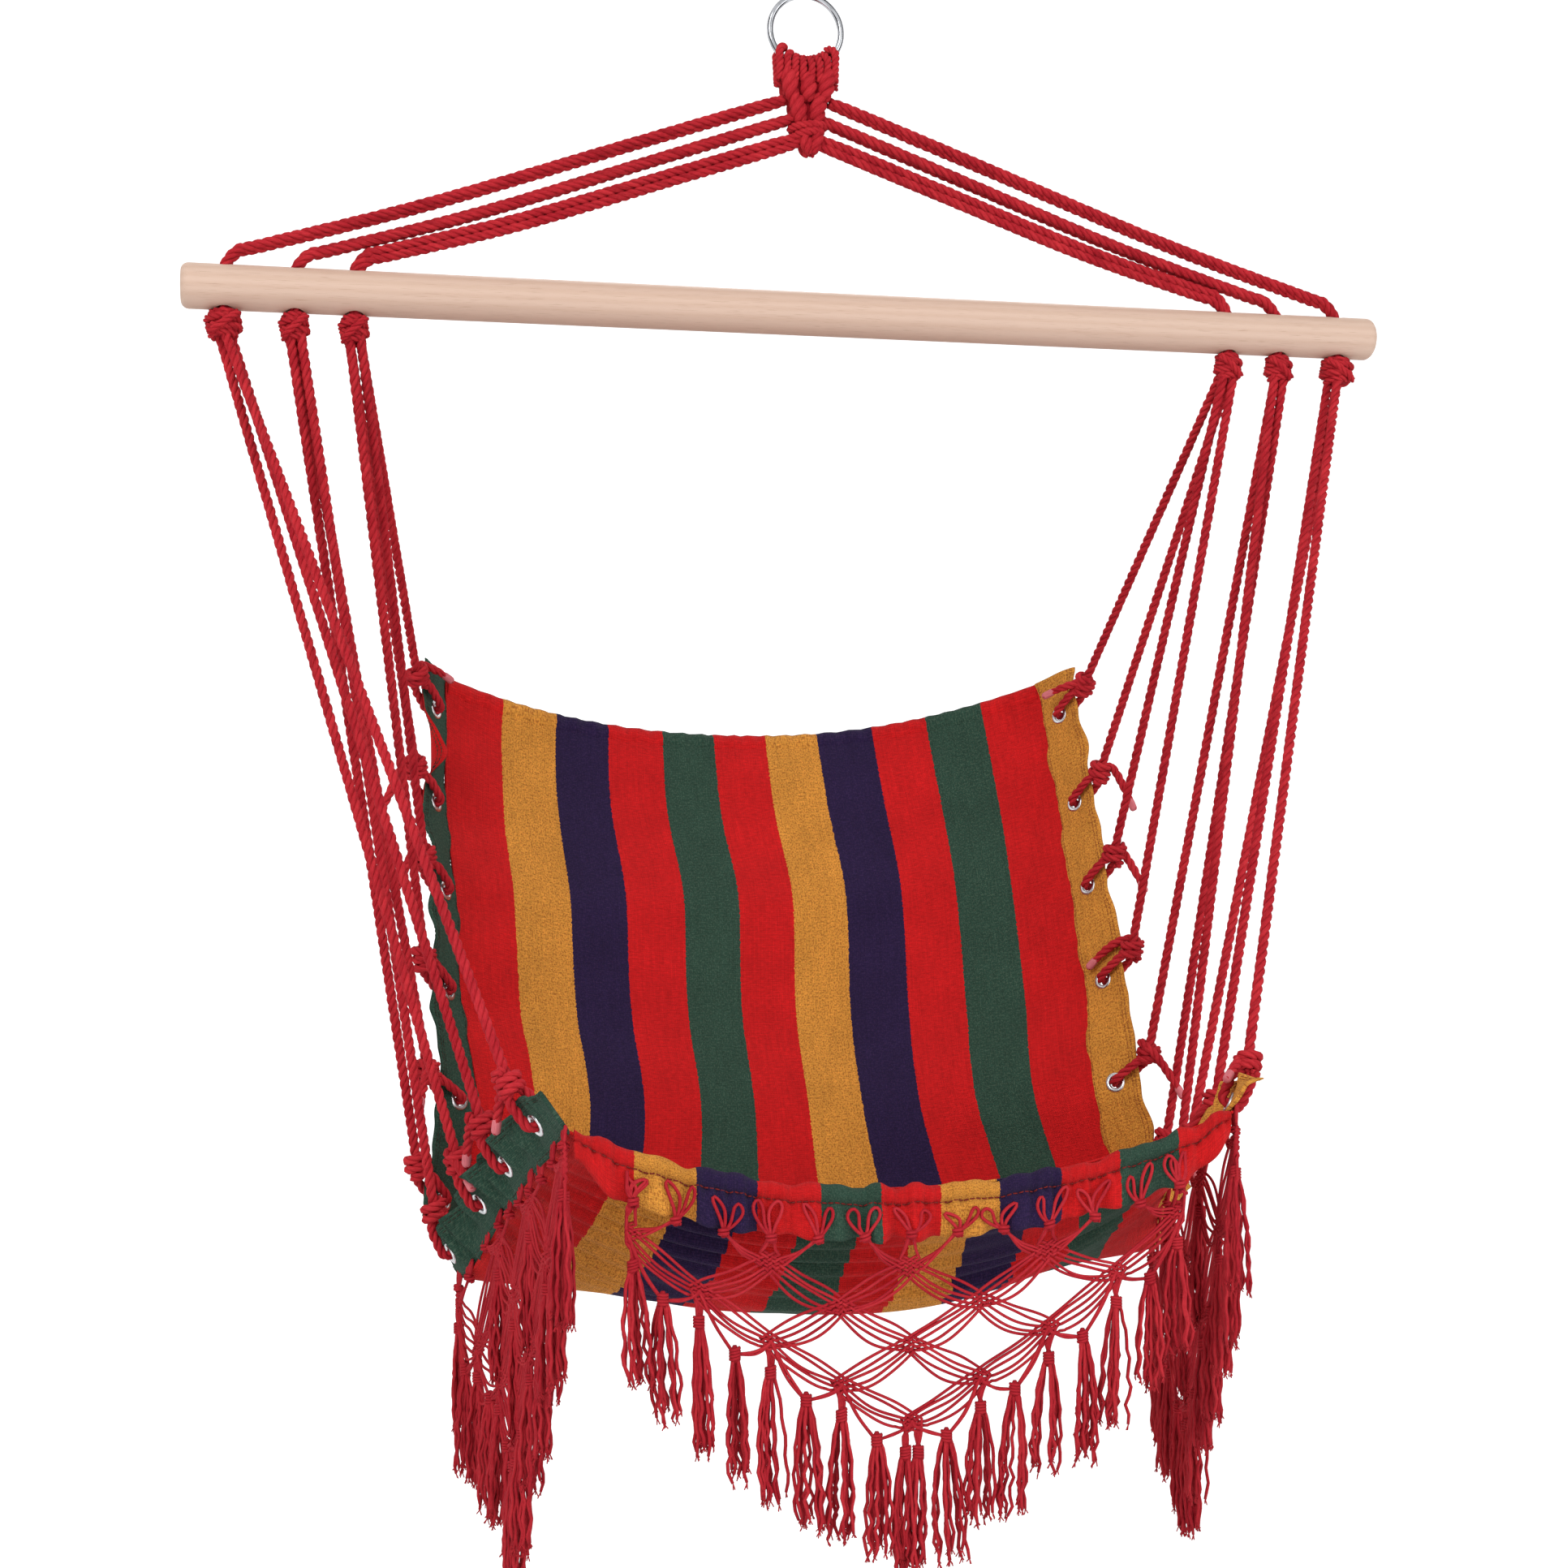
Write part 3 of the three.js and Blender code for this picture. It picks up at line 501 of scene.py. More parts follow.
def steelMaterial(name):
    look = steelLook
    colour, roughness = look[name]
    material, tree, shader = newMaterial(name, {"Metallic": 1.0, "Roughness": roughness})
    space = objectSpace(tree)
    smudge = noise(tree, space, look["smudgeScale"], look["smudgeDetail"])
    darker = tuple(c * look["smudgeShade"] for c in colour)
    rough = tuple(roughness * share for share in look["roughShares"])
    setInputs(tree, shader, {
        "Base Color": mixed(tree, remapped(tree, smudge, look["smudgeRange"]), (*colour, 1), (*darker, 1)),
        "Roughness": remapped(tree, smudge, look["roughRange"], rough),
        "Normal": bumped(tree, noise(tree, space, look["grainScale"], look["grainDetail"]), look["grainDepth"], 0.5),
    })
    return material


woodLook = {
    "pale": linear(209, 181, 163), "grain": linear(190, 156, 135), "pore": linear(164, 128, 106),
    "cloudStretch": (1.2, 60.0, 60.0), "ringStretch": (0.02, 1.0, 1.0), "poreStretch": (60.0, 2200.0, 2200.0),
    "bend": 0.008, "bendScale": 0.6, "ringScale": 42.0, "ringShare": 0.3, "cloudScale": 0.25,
    "cloudRange": (0.4, 0.7), "cloudShares": (0.0, 0.45), "poreRange": (0.62, 0.74), "poreShares": (0.0, 0.5),
    "roughness": (0.52, 0.68), "depth": 0.00015,
}


def woodMaterial():
    look = woodLook
    material, tree, shader = newMaterial("paleWood", {"Roughness": 0.6})
    space = objectSpace(tree)
    stretched = scaled(tree, space, look["cloudStretch"])
    warpInputs = {"Vector": stretched, "Scale": look["bendScale"], "Detail": 3.0}
    warp = addNode(tree, "ShaderNodeTexNoise", warpInputs).outputs["Color"]
    bentInputs = {0: warp, 1: (look["bend"],) * 3, 2: scaled(tree, space, look["ringStretch"])}
    bent = addNode(tree, "ShaderNodeVectorMath", bentInputs, operation="MULTIPLY_ADD").outputs[0]
    ringInputs = {"Vector": bent, "Scale": look["ringScale"], "Distortion": 1.5, "Detail": 2.0}
    rings = addNode(tree, "ShaderNodeTexWave", ringInputs, wave_type="BANDS", bands_direction="Z").outputs[0]
    ringShade = maths(tree, "MULTIPLY", rings, look["ringShare"])
    pores = noise(tree, scaled(tree, space, look["poreStretch"]), 1.0, 1.0)
    pores = remapped(tree, pores, look["poreRange"], look["poreShares"])
    cloud = remapped(tree, noise(tree, stretched, look["cloudScale"], 2.0), look["cloudRange"], look["cloudShares"])
    base = mixed(tree, cloud, mixed(tree, ringShade, look["pale"], look["grain"]), look["grain"])
    setInputs(tree, shader, {
        "Base Color": mixed(tree, pores, base, look["pore"]),
        "Roughness": remapped(tree, rings, (0.0, 1.0), look["roughness"]),
        "Normal": bumped(tree, maths(tree, "SUBTRACT", ringShade, pores), look["depth"], 0.6),
    })
    return material


ropeMaterial, cordMaterial, tapeMaterial, stitchMaterial = map(yarnMaterial, ("rope", "cord", "tape", "stitch"))
hemStitchMaterial = {-1: yarnMaterial("greenStitch"), 1: yarnMaterial("ochreStitch")}
ringSteel, eyeletSteel = map(steelMaterial, ("ringSteel", "eyeletSteel"))
paleWood = woodMaterial()
print("materials made")

# Hanging ring: bent wire with its weld at the top

ring = {"radius": 0.030, "wire": 0.0055, "weldSwell": 0.0004, "weldLength": 0.004, "steps": 144, "sides": 24}


def makeRing():
    angle = np.linspace(0, fullTurn, ring["steps"] + 1)[:-1]
    path = np.stack([np.sin(angle) * ring["radius"], 0 * angle, np.cos(angle) * ring["radius"]], 1)
    fromWeld = np.minimum(angle, fullTurn - angle) * ring["radius"]
    wire = ring["wire"] / 2 + ring["weldSwell"] * np.exp(-(fromWeld / ring["weldLength"]) ** 2)
    sideways = np.broadcast_to(point(0, 1, 0), path.shape)
    verts = path[:, None] + spokes(circle(ring["sides"]), unit(path), sideways) * wire[:, None, None]
    piece = makeMesh("hanging_ring", verts, tubeFaces(ring["steps"], ring["sides"], closed=True), ringSteel)
    hang(piece, "ring", ["ring"])


# Cord hitches on the ring, and the plaited clew that tapers below them

hitch = {
    # Degrees from the ring's foot, and how far out the cord ends below
    "wraps": [(7, 0.0036), (20, 0.0104), (34, 0.0168), (51, 0.0232)],
    "cord": 0.0034, "lay": 0.014, "gap": 0.0004, "foot": 0.044, "proud": 0.0054, "step": 0.001,
    "barDrop": 0.046, "barReach": 0.0265,
}
clew = {
    "cord": 0.0036, "lay": 0.014, "column": 0.0165, "loop": 0.0068,
    # Lobes of the plait: middle across and up, lean in degrees, radius, length
    "lobes": [
        (-0.0150, -0.0470, 10, 0.0070, 0.029), (0.0006, -0.0490, -2, 0.0070, 0.0245),
        (0.0162, -0.0465, -10, 0.0070, 0.029), (-0.0080, -0.0675, 9, 0.0070, 0.027),
        (0.0086, -0.0670, -9, 0.0070, 0.027),
        (-0.0022, -0.0930, 16, 0.0056, 0.024), (0.0074, -0.0925, -14, 0.0056, 0.024),
    ],
    "lobeLay": 0.024, "lobeApart": 0.6, "lobeBow": 0.3, "lobeRound": 0.38,
    # Filling under the lobes, drawn in a low tone as painted shade: x, z, wide, deep, high
    "core": [(0.0, -0.050, 0.0150, 0.0056, 0.0140), (0.001, -0.075, 0.0090, 0.0060, 0.0170)],
    "wraps": [(-0.0815, 0.0140, 6), (-0.0872, 0.0108, 11)],  # z, half the width, lean in degrees
    "wrapDeep": 0.0098, "wrapShift": 0.0008,
}


def makeHitches():
    heap = Heap()
    front = point(0, -1, 0)
    near = ring["wire"] / 2 + hitch["gap"] + hitch["cord"]
    for side in (-1, 1):
        for number, (degrees, foot) in enumerate(hitch["wraps"]):
            angle = math.radians(degrees) * side
            outward = point(math.sin(angle), 0, -math.cos(angle))
            wire = outward * ring["radius"]
            low = point(side * foot, 0, -hitch["foot"])
            path = [
                low - front * hitch["proud"], (low + wire) / 2 - front * near, wire - front * near,
                wire - outward * near,
                wire + front * near, (low + wire) / 2 + front * near, low + front * hitch["proud"],
            ]
            twistedRope(heap, smoothPath(path, hitch["step"]), hitch["cord"], hitch["lay"], sides=8, turn=number,
                        tone=0.5 + 0.03 * (number % 2))
    ends = np.array([point(x * hitch["barReach"], 0, -hitch["barDrop"]) for x in (-1, 1)])
    twistedRope(heap, evenly(ends, hitch["step"] * 1.2), hitch["cord"] * 0.9, hitch["lay"], sides=6, tone=0.45)
    hang(heap.piece("ring_hitch_cords", ropeMaterial), "hitches", ["ring_hitches"])


def makeClew():
    heap = Heap()
    for x in (-clew["column"], 0, clew["column"]):
        ropeLoop(heap, point(x, 0, -hitch["barDrop"]), point(1, 0, 0), clew["loop"], clew["cord"] * 0.9, clew["lay"])
    t = np.linspace(-0.5, 0.5, 31)
    swell = np.clip(1 - (2 * t) ** 2, 0.02, 1) ** clew["lobeRound"]
    for x, z, lean, radius, length in clew["lobes"]:
        along = point(math.sin(math.radians(lean)), 0, -math.cos(math.radians(lean)))
        for front in (-1, 1):
            path = point(x, front * radius * clew["lobeApart"], z) + t[:, None] * length * along
            path[:, 1] += front * radius * clew["lobeBow"] * np.cos(t * math.pi)
            twistedRope(heap, path, radius, clew["lobeLay"], sides=12, taper=swell, turn=x * 300 + front)
    turn = np.linspace(0, fullTurn, 41)
    for z, reach, lean in clew["wraps"]:
        x = reach * np.cos(turn)
        rise = z + x * math.sin(math.radians(lean))
        path = np.stack([x + clew["wrapShift"], clew["wrapDeep"] * np.sin(turn), rise], 1)
        twistedRope(heap, path, clew["cord"], clew["lay"], sides=8)
    level = np.linspace(-1, 1, 11)
    for x, z, wide, deep, high in clew["core"]:
        for shift in (-0.6, 0, 0.6):
            path = point(x + shift * wide, 0, z) + level[:, None] * high * upAxis
            # The low tone darkens the filling: painted shade between the lobes
            heap.tube(path, deep * np.sqrt(np.clip(1 - level**2 * 0.9, 0.05, 1)), 12, 0.2)
    hang(heap.piece("clew_plait", ropeMaterial), "rigging", ["clew"])


makeRing()
makeHitches()
makeClew()
print("ring and clew made")

# Spreader bar with its bored rope holes

bar = {
    "length": 1.0, "diameter": 0.0355, "drop": 0.237, "endRadius": 0.006, "sides": 72, "stations": 41,
    "holes": {"inner": 0.367, "middle": 0.413, "outer": 0.467}, "bore": 0.0078, "drillLength": 0.06, "drillSides": 32,
}


def makeBar():
    radius, half, rounding = bar["diameter"] / 2, bar["length"] / 2, bar["endRadius"]
    turned = np.linspace(0, math.pi / 2, 7)
    corner = [(rounding * (1 - math.sin(a)), radius - rounding * (1 - math.cos(a))) for a in turned]
    straight = np.linspace(-half + rounding, half - rounding, bar["stations"])[1:-1]
    profile = [(-half, 0.0)] + [(-half + x, r) for x, r in corner[::-1]] + [(x, radius) for x in straight]
    profile += [(half - x, r) for x, r in corner] + [(half, 0.0)]
    body = bmesh.new()
    rings = []
    for x, r in profile:
        turn = circle(bar["sides"]) if r else [0]
        rings.append([body.verts.new((x, r * math.cos(a), -bar["drop"] + r * math.sin(a))) for a in turn])
    for low, high in zip(rings, rings[1:]):
        for j in range(bar["sides"]):
            k = (j + 1) % bar["sides"]
            corners = [low[j % len(low)], low[k % len(low)], high[k % len(high)], high[j % len(high)]]
            body.faces.new(list(dict.fromkeys(corners)))
    bmesh.ops.recalc_face_normals(body, faces=body.faces)
    mesh = bpy.data.meshes.new("dowel")
    body.to_mesh(mesh)
    mesh.materials.append(paleWood)
    piece = placed("spreader_dowel", mesh)
    holes = [(point(side * x, 0, -bar["drop"]), np.eye(3)) for side in (-1, 1) for x in bar["holes"].values()]
    bored(piece, holes, bar["bore"], bar["drillLength"], bar["drillSides"])
    piece.data.set_sharp_from_angle(angle=math.radians(40))
    hang(piece, "rigging", ["spreader_bar"])


# Fan ropes: bundles from the clew to the bar, through it, and into stopper knots

fan = {
    "rope": 0.0041, "lay": 0.023, "pitch": 0.0080, "tight": 0.45, "step": 0.0024,
    "rows": {"outer": (0.0165, -0.059, 0.0075), "middle": (0.0085, -0.073, 0.008), "inner": (0.0, -0.090, 0.010)},
    # Each rope's place in its bundle, in half pitches across and back
    "places": {
        "inner": [(-1.05, -0.7), (0.95, -0.75), (-0.4, 0.8), (0.7, 0.95)],
        "middle": [(-0.35, -1.1), (0.3, 0.0), (-0.2, 1.1)],
        "outer": [(0.35, -1.1), (-0.3, 0.0), (0.25, 1.1)],
    },
}
stopper = {
    "radius": {"inner": 0.0125, "middle": 0.0125, "outer": 0.0150}, "cord": 0.0034, "lay": 0.018, "rise": 0.0054,
    "coils": [(-17, 0.82), (-9, 1.0), (-14, 0.98), (-5, 0.76)],  # lean in degrees, and share of the full width
    "lift": 0.0006, "shift": 0.0012, "backLean": 0.14, "slant": 0.0085, "coreHalf": 0.0095,
}


def makeFan(place, side):
    heap = Heap()
    rowX, rowZ, reach = fan["rows"][place]
    start = point(side * rowX, 0, rowZ)
    hole = side * bar["holes"][place]
    top = point(hole, 0, -bar["drop"] + bar["diameter"] / 2)
    along = unit(top - start)
    across = unit(np.cross(along, point(0, side, 0)))
    for number, (acrossShare, deepShare) in enumerate(fan["places"][place]):
        shift = across * acrossShare * fan["pitch"] / 2 + point(0, deepShare * fan["pitch"] / 2, 0)
        tight = shift * fan["tight"]
        path = [
            start + along * reach * 0.4 + tight,
            start + along * 0.030 + shift * 0.82,
            start + (top - start) * 0.3 + shift * 0.88,
            start + (top - start) * 0.65 + shift * 0.86,
            top - along * 0.03 + shift * 0.8 + upAxis * 0.006,
            top - along * 0.012 + shift * 0.7 + upAxis * 0.0075,
            top + point(0, 0, -0.002) + tight,
            point(hole, 0, -bar["drop"]) + tight,
            point(hole, 0, -knotDrop + 0.004) + tight,
        ]
        twistedRope(heap, smoothPath(path, fan["step"]), fan["rope"], fan["lay"], turn=number * 1.7,
                    tone=0.5 + 0.02 * (number % 3 - 1))
    stopperKnot(heap, point(hole, 0, -knotDrop), stopper["radius"][place], side)
    hang(heap.piece(f"fan_{place}_{sideNames[side]}", ropeMaterial), "rigging",
         [f"fan_rope_{place}_{sideNames[side]}"])


def stopperKnot(heap, centre, radius, side):
    # The gathered ropes wound about themselves in an egg of slanting coils, one strand crossing in front
    cord, lay = stopper["cord"], stopper["lay"]
    wide = radius - cord
    for i, (lean, share) in enumerate(stopper["coils"]):
        tilt = math.radians(lean * side)
        axis = unit(point(math.sin(tilt), stopper["backLean"] * (i % 2), math.cos(tilt)))
        shift = point(side * stopper["shift"] * (i % 2), 0, (1.5 - i) * stopper["rise"] + stopper["lift"])
        ropeLoop(heap, centre + shift, axis, wide * share, cord, lay, 0.5 + 0.03 * (i - 1))
    t = np.linspace(-1, 1, 17)
    front = -wide * np.sqrt(1 - (t * 0.8) ** 2) - cord * 0.7
    crossing = np.stack([side * wide * 0.95 * t, front, -stopper["slant"] * t], 1)
    twistedRope(heap, centre + crossing, cord * 0.9, lay)
    # The core, in a low tone that paints the shade inside the coils
    level = np.linspace(-1, 1, 9)
    core = centre + level[:, None] * stopper["coreHalf"] * upAxis
    heap.tube(core, wide * np.sqrt(np.clip(1 - level**2 * 0.5, 0.1, 1)), 16, 0.3)


makeBar()
for side in (-1, 1):
    for place in bar["holes"]:
        makeFan(place, side)
print("bar and fan ropes made")

# Hem frames along both sides, worked out from the eyelets and the knots as the ropes pull them

hem = {
    "width": 0.044, "thickness": 0.003, "topReach": 0.042, "frontReach": 0.040, "flat": 0.012, "outwardLean": 0.3,
    "endFade": 0.02, "frontStart": 0.5, "frontFade": 0.2, "grip": 0.014, "gripShare": 0.9,
    "wave": 0.0034, "frontWave": 0.0030, "wavePaces": (68, 151),
    # Pleats at the front corner: height, pace, how far they lean, and how sharply the eyelets press them down
    "fold": 0.0082, "foldPace": 196, "foldDrift": 1.2, "driftPace": 43, "foldLean": 0.5, "foldPress": 2.5,
    "foldFade": 0.05, "edgeWave": 0.05, "edgePace": 97, "endNarrow": 0.42, "endLength": 0.04,
    "roll": 2.0, "rollLength": 0.026, "rows": 520, "columns": 17, "edge": 0.35,
    "seam": 0.8, "seamWide": 0.07, "seamDip": 0.3, "pucker": (0.18, 420, 0, 3, 37), "puckerStart": 0.6,
    "punch": 0.0064, "punchLength": 0.012, "punchSides": 24,
    "stitchShares": (-0.84, 0.7, 0.84), "stitch": 0.00048, "stitchPace": 0.0042, "stitchShare": 0.72,
}
ropeStarts = [
    # The knot that each rope comes from, from the back's top forwards, and its place there in pitches
    ("inner", -0.5, 0.5), ("inner", 0.5, 0.5), ("inner", -0.5, -0.5), ("inner", 0.5, -0.5), ("middle", 0, 0.5),
    ("middle", 0.5, -0.5), ("middle", -0.5, -0.5), ("outer", 0.5, 0.5), ("outer", -0.5, 0.5), ("outer", 0, -0.5),
]
ropePitch, ropeStartDrop = 0.0086, 0.0128


def eyeletFrames(side):
    places = [boxMiddle(f"eyelet_{sideNames[side]}_{i + 1}") for i in range(len(ropeStarts))]
    frames = []
    for i, centre in enumerate(places):
        along = unit(places[max(i - 1, 0)] - places[min(i + 1, len(places) - 1)])
        knot, x, y = ropeStarts[i]
        start = point(side * (bar["holes"][knot] + x * ropePitch), y * ropePitch, -knotDrop - ropeStartDrop)
        pull = unit(start - centre)
        outward = pull + point(side * hem["outwardLean"], 0, 0)
        outward = unit(outward - along * outward.dot(along))
        frames.append({"centre": centre, "along": along, "outward": outward, "start": start, "pull": pull,
                       "normal": unit(np.cross(along, outward) * side)})
    return frames


def hemStations(side):
    frames = eyeletFrames(side)

    def moved(f, distance):
        return [f["centre"] + f["along"] * distance, f["outward"], f["normal"]]

    stations = [moved(frames[0], hem["topReach"])]
    for i, f in enumerate(frames):
        if i:
            before = frames[i - 1]
            span = np.linalg.norm(before["centre"] - f["centre"])
            middle = (before["centre"] + f["centre"]) / 2 + (f["along"] - before["along"]) * span / 8
            stations.append([middle, unit(before["outward"] + f["outward"]), unit(before["normal"] + f["normal"])])
        stations += [moved(f, hem["flat"]), moved(f, -hem["flat"])]
    stations.append(moved(frames[-1], -hem["frontReach"]))
    return stations


class Rail:
    # A smooth run along the hem: centre, outward and normal at any distance from the back's top
    def __init__(self, side):
        rows = np.array([np.concatenate(station) for station in hemStations(side)])
        self.far = distances(rows[:, :3] - rows[:, 3:6] * hem["width"] / 2)
        self.length = self.far[-1]
        self.dense = np.linspace(0, self.length, 400)
        raw = np.stack([np.interp(self.dense, self.far, rows[:, k]) for k in range(9)], 1)
        kernel = np.hanning(13) / np.hanning(13).sum()
        longer = np.vstack([np.repeat(raw[:1], 6, 0), raw, np.repeat(raw[-1:], 6, 0)])
        soft = np.stack([np.convolve(longer[:, k], kernel, "valid") for k in range(9)], 1)
        fade = smoothStep(np.minimum(self.dense, self.length - self.dense) / hem["endFade"])[:, None]
        self.rows = raw * (1 - fade) + soft * fade

    def at(self, distance):
        row = np.stack([np.interp(distance, self.dense, self.rows[:, k]) for k in range(9)], -1)
        return row[..., :3], unit(row[..., 3:6]), unit(row[..., 6:9])

    def eyeletDistances(self):
        return [(self.far[1 + 3 * i] + self.far[2 + 3 * i]) / 2 for i in range(len(ropeStarts))]


rails = {side: Rail(side) for side in (-1, 1)}

# Eyelets: pressed steel with a rolled rim on both faces

eyelet = {"bore": 0.0050, "rim": 0.0086, "lift": 0.0012, "sides": 40, "steps": 9, "roundness": 0.7}


def makeEyelet(f, name):
    inner = hem["thickness"] / 2
    middle, half = (eyelet["bore"] + eyelet["rim"]) / 2, (eyelet["rim"] - eyelet["bore"]) / 2
    profile = []
    for face in (1, -1):
        for a in np.linspace(0, math.pi, eyelet["steps"]):
            lift = inner + eyelet["lift"] * math.sin(a) ** eyelet["roundness"]
            profile.append((middle - face * half * math.cos(a), face * lift))
    profile = np.array(profile)
    out = around(circle(eyelet["sides"]), f["along"], f["outward"])
    verts = f["centre"] + out[:, None] * profile[None, :, :1] + f["normal"] * profile[None, :, 1:]
    faces = [face[:1] + face[:0:-1] for face in tubeFaces(eyelet["sides"], len(profile), closed=True)]
    hang(makeMesh(f"{name}_ring", verts, faces, eyeletSteel), "sling", [name])


# Seat ropes: from the stopper knot to a tie knot outside the hem, through the eyelet and back, with a taped tail

seatRope = {
    "radius": 0.0041, "lay": 0.023, "tieClear": 0.010, "tieLean": 0.5, "faceGap": 0.0018, "step": 0.0022,
    "coil": 0.0072, "coilTurns": 2.4, "coilRise": 0.0072, "coilLift": 0.003,
    "tail": (0.030, 0.048), "tailDroop": 0.012, "tape": 0.013, "tapeShare": 0.8,
}


def makeSeatRope(side, f, number):
    heap, tape = Heap(), Heap()
    chance = np.random.default_rng(40 * number + side)
    radius, lay, step = seatRope["radius"], seatRope["lay"], seatRope["step"]
    lean = min(f["pull"].dot(f["along"]) / f["pull"].dot(f["outward"]), seatRope["tieLean"])
    toTie = unit(f["outward"] + f["along"] * lean)
    reach = (hem["width"] / 2 + seatRope["tieClear"]) / toTie.dot(f["outward"])
    edge = hem["width"] / 2 / toTie.dot(f["outward"])
    off = hem["thickness"] / 2 + seatRope["faceGap"] + radius

    def at(far, high):
        return f["centre"] + toTie * far + f["normal"] * high

    # The long run up into the stopper knot
    tie = at(reach, 0)
    up = unit(f["start"] - tie)
    ends = np.array([f["start"] + upAxis * 0.008 + up * 0.003, tie - up * 0.004])
    twistedRope(heap, evenly(ends, fan["step"]), radius, lay, turn=number * 1.3, tone=0.5 + 0.03 * (number % 3 - 1))

    # The loop: out along one face of the hem, through the eyelet and back along the other
    face = [
        at(reach - 0.001, 0.002), at(edge + 0.001, off * 0.95), at(edge * 0.55, off),
        at(0.0045, off), at(0, off - 0.002), at(-0.0006, 0.0012),
    ]
    back = [p - 2 * f["normal"] * (p - f["centre"]).dot(f["normal"]) for p in face]
    twistedRope(heap, smoothPath(face + back[::-1], 0.0018), radius * 0.94, lay, turn=number)

    # The tie knot's coils and the tail that they end in, which narrows into its tape
    a = unit(np.cross(up, f["normal"]))
    b = np.cross(up, a)
    turn = np.linspace(0, seatRope["coilTurns"] * fullTurn, 64)
    climb = (turn / fullTurn - seatRope["coilTurns"] / 2) * seatRope["coilRise"]
    coil = tie + up * seatRope["coilLift"] + climb[:, None] * up + seatRope["coil"] * around(turn + number, a, b)
    tailLength = chance.uniform(*seatRope["tail"])
    away = unit(a * chance.choice([-1, 1]) * 0.9 + f["normal"] * chance.uniform(-0.7, 0.7) - upAxis * 0.7)
    tail = [coil[-1] + away * tailLength * s - upAxis * seatRope["tailDroop"] * s * s for s in (0.25, 0.5, 0.75, 1.0)]
    route = smoothPath(np.vstack([coil[::4], tail]), step)
    toEnd = (len(route) - 1 - np.arange(len(route))) * step
    share = seatRope["tapeShare"]
    narrow = share + (1 - share) * smoothStep(toEnd / seatRope["tape"] - 0.8)
    twistedRope(heap, route, radius * 0.97, lay, turn=number * 2, tone=0.52, taper=narrow)
    tip = route[toEnd < seatRope["tape"]]
    tip = evenly(np.vstack([tip, tip[-1:] + unit(tip[-1:] - tip[-2:-1]) * 0.001]), 0.001)
    swell = np.sqrt(np.clip(1 - np.linspace(-1, 1, len(tip)) ** 6, 0.3, 1))
    tape.tube(tip, radius * share * 1.04 * swell, 14)
    name = f"seat_rope_{sideNames[side]}_{number}"
    hang(heap.piece(f"{name}_strands", ropeMaterial), "sling", [name])
    hang(tape.piece(f"{name}_tape", tapeMaterial), "sling")


for side in (-1, 1):
    for i, f in enumerate(eyeletFrames(side)):
        makeEyelet(f, f"eyelet_{sideNames[side]}_{i + 1}")
        makeSeatRope(side, f, i + 1)
print("eyelets and seat ropes made")

# Seat cloth: one striped sheet between the hems

cloth = {
    "depth": 0.600, "drop": 0.770, "shift": 0.052, "thickness": 0.0018, "edgeGap": -0.0020, "scoop": 2.2,
    # The middle line from the back's top to the lip, in shares of the depth and of the drop
    "centreShares": [
        (0.453, 0.384), (0.363, 0.504), (0.267, 0.63), (0.167, 0.764), (0.08, 0.882),
        (-0.017, 0.962), (-0.142, 1), (-0.283, 0.981), (-0.43, 0.909), (-0.558, 0.846),
    ],
    "step": 0.002, "rows": (150, 170), "frontShare": 0.66, "columns": 130, "crowding": 0.92,
    # A broad wave across the back, in and out: height, start and length, slant, and the stretch that it fills
    "wave": 0.0075, "waveStart": 0.2, "waveLength": 0.42, "waveSlant": 0.5,
    "waveReach": (0.18, 0.64), "waveFade": (0.06, 0.08),
    "ripple": 0.0016, "pleat": 0.0042, "pleatFade": (0.12, 0.012),
    "pull": 0.003, "pullAcross": 0.045, "pullAlong": 0.016,
    "gather": (1.0, 95, 0, 2, 9), "gatherHeight": 0.0012, "gatherLength": 0.02,
    # How the stripes sway on the map: size, pace down the cloth, slant, phase
    "wander": 0.0054, "sways": [(1.0, 11, 1.2, 2.6), (0.35, 25, -2, 0)], "swayFade": 0.2,
    # Ripples: seed, how many, the range of their pace, and how far they slant
    "backRipples": (3, 6, (18, 46), 2.2), "finePleats": (8, 4, (170, 290), 3.0), "widePleats": (9, 4, (50, 110), 4.0),
}
clothWidth = 0.57
centreLine = smoothPath(
    [point(0, y * cloth["depth"] + cloth["shift"], -knotDrop - z * cloth["drop"]) for y, z in cloth["centreShares"]],
    cloth["step"])
clothLength = np.linalg.norm(np.diff(centreLine, axis=0), axis=1).sum()


def plainCloth(share, across):
    # The smooth sheet: share runs from the back's top to the lip, across from -1 to 1
    share, across = np.broadcast_arrays(share, across)
    far = np.linspace(0, 1, len(centreLine))
    edges = {}
    for side, rail in rails.items():
        centre, outward, _ = rail.at(share * rail.length)
        edges[side] = centre - outward * (hem["width"] / 2 + cloth["edgeGap"])
    edge = np.where((across < 0)[..., None], edges[-1], edges[1])
    weight = np.abs(across) ** cloth["scoop"]
    middle = [np.interp(share, far, centreLine[:, k]) for k in (1, 2)]
    y, z = (m + (edge[..., k] - m) * weight for k, m in enumerate(middle, 1))
    return np.stack([np.abs(across) * edge[..., 0], y, z], -1)


def clothMap(across, down):
    # The striped cloth's own places in metres, across it and down it
    return np.stack(np.broadcast_arrays((across + 1) / 2 * clothWidth, down), -1)


def ripples(share, across, seed, count, paces, slant):
    # A sum of long waves that run across the cloth
    chance = np.random.default_rng(seed)
    total = 0
    for _ in range(count):
        a, b, c = chance.uniform(*paces), chance.uniform(-1, 1) * slant, chance.uniform(0, 6.28)
        total = total + np.sin(share * a + across * b + c + 0.6 * np.sin(across * 3 + c))
    return total / math.sqrt(count)


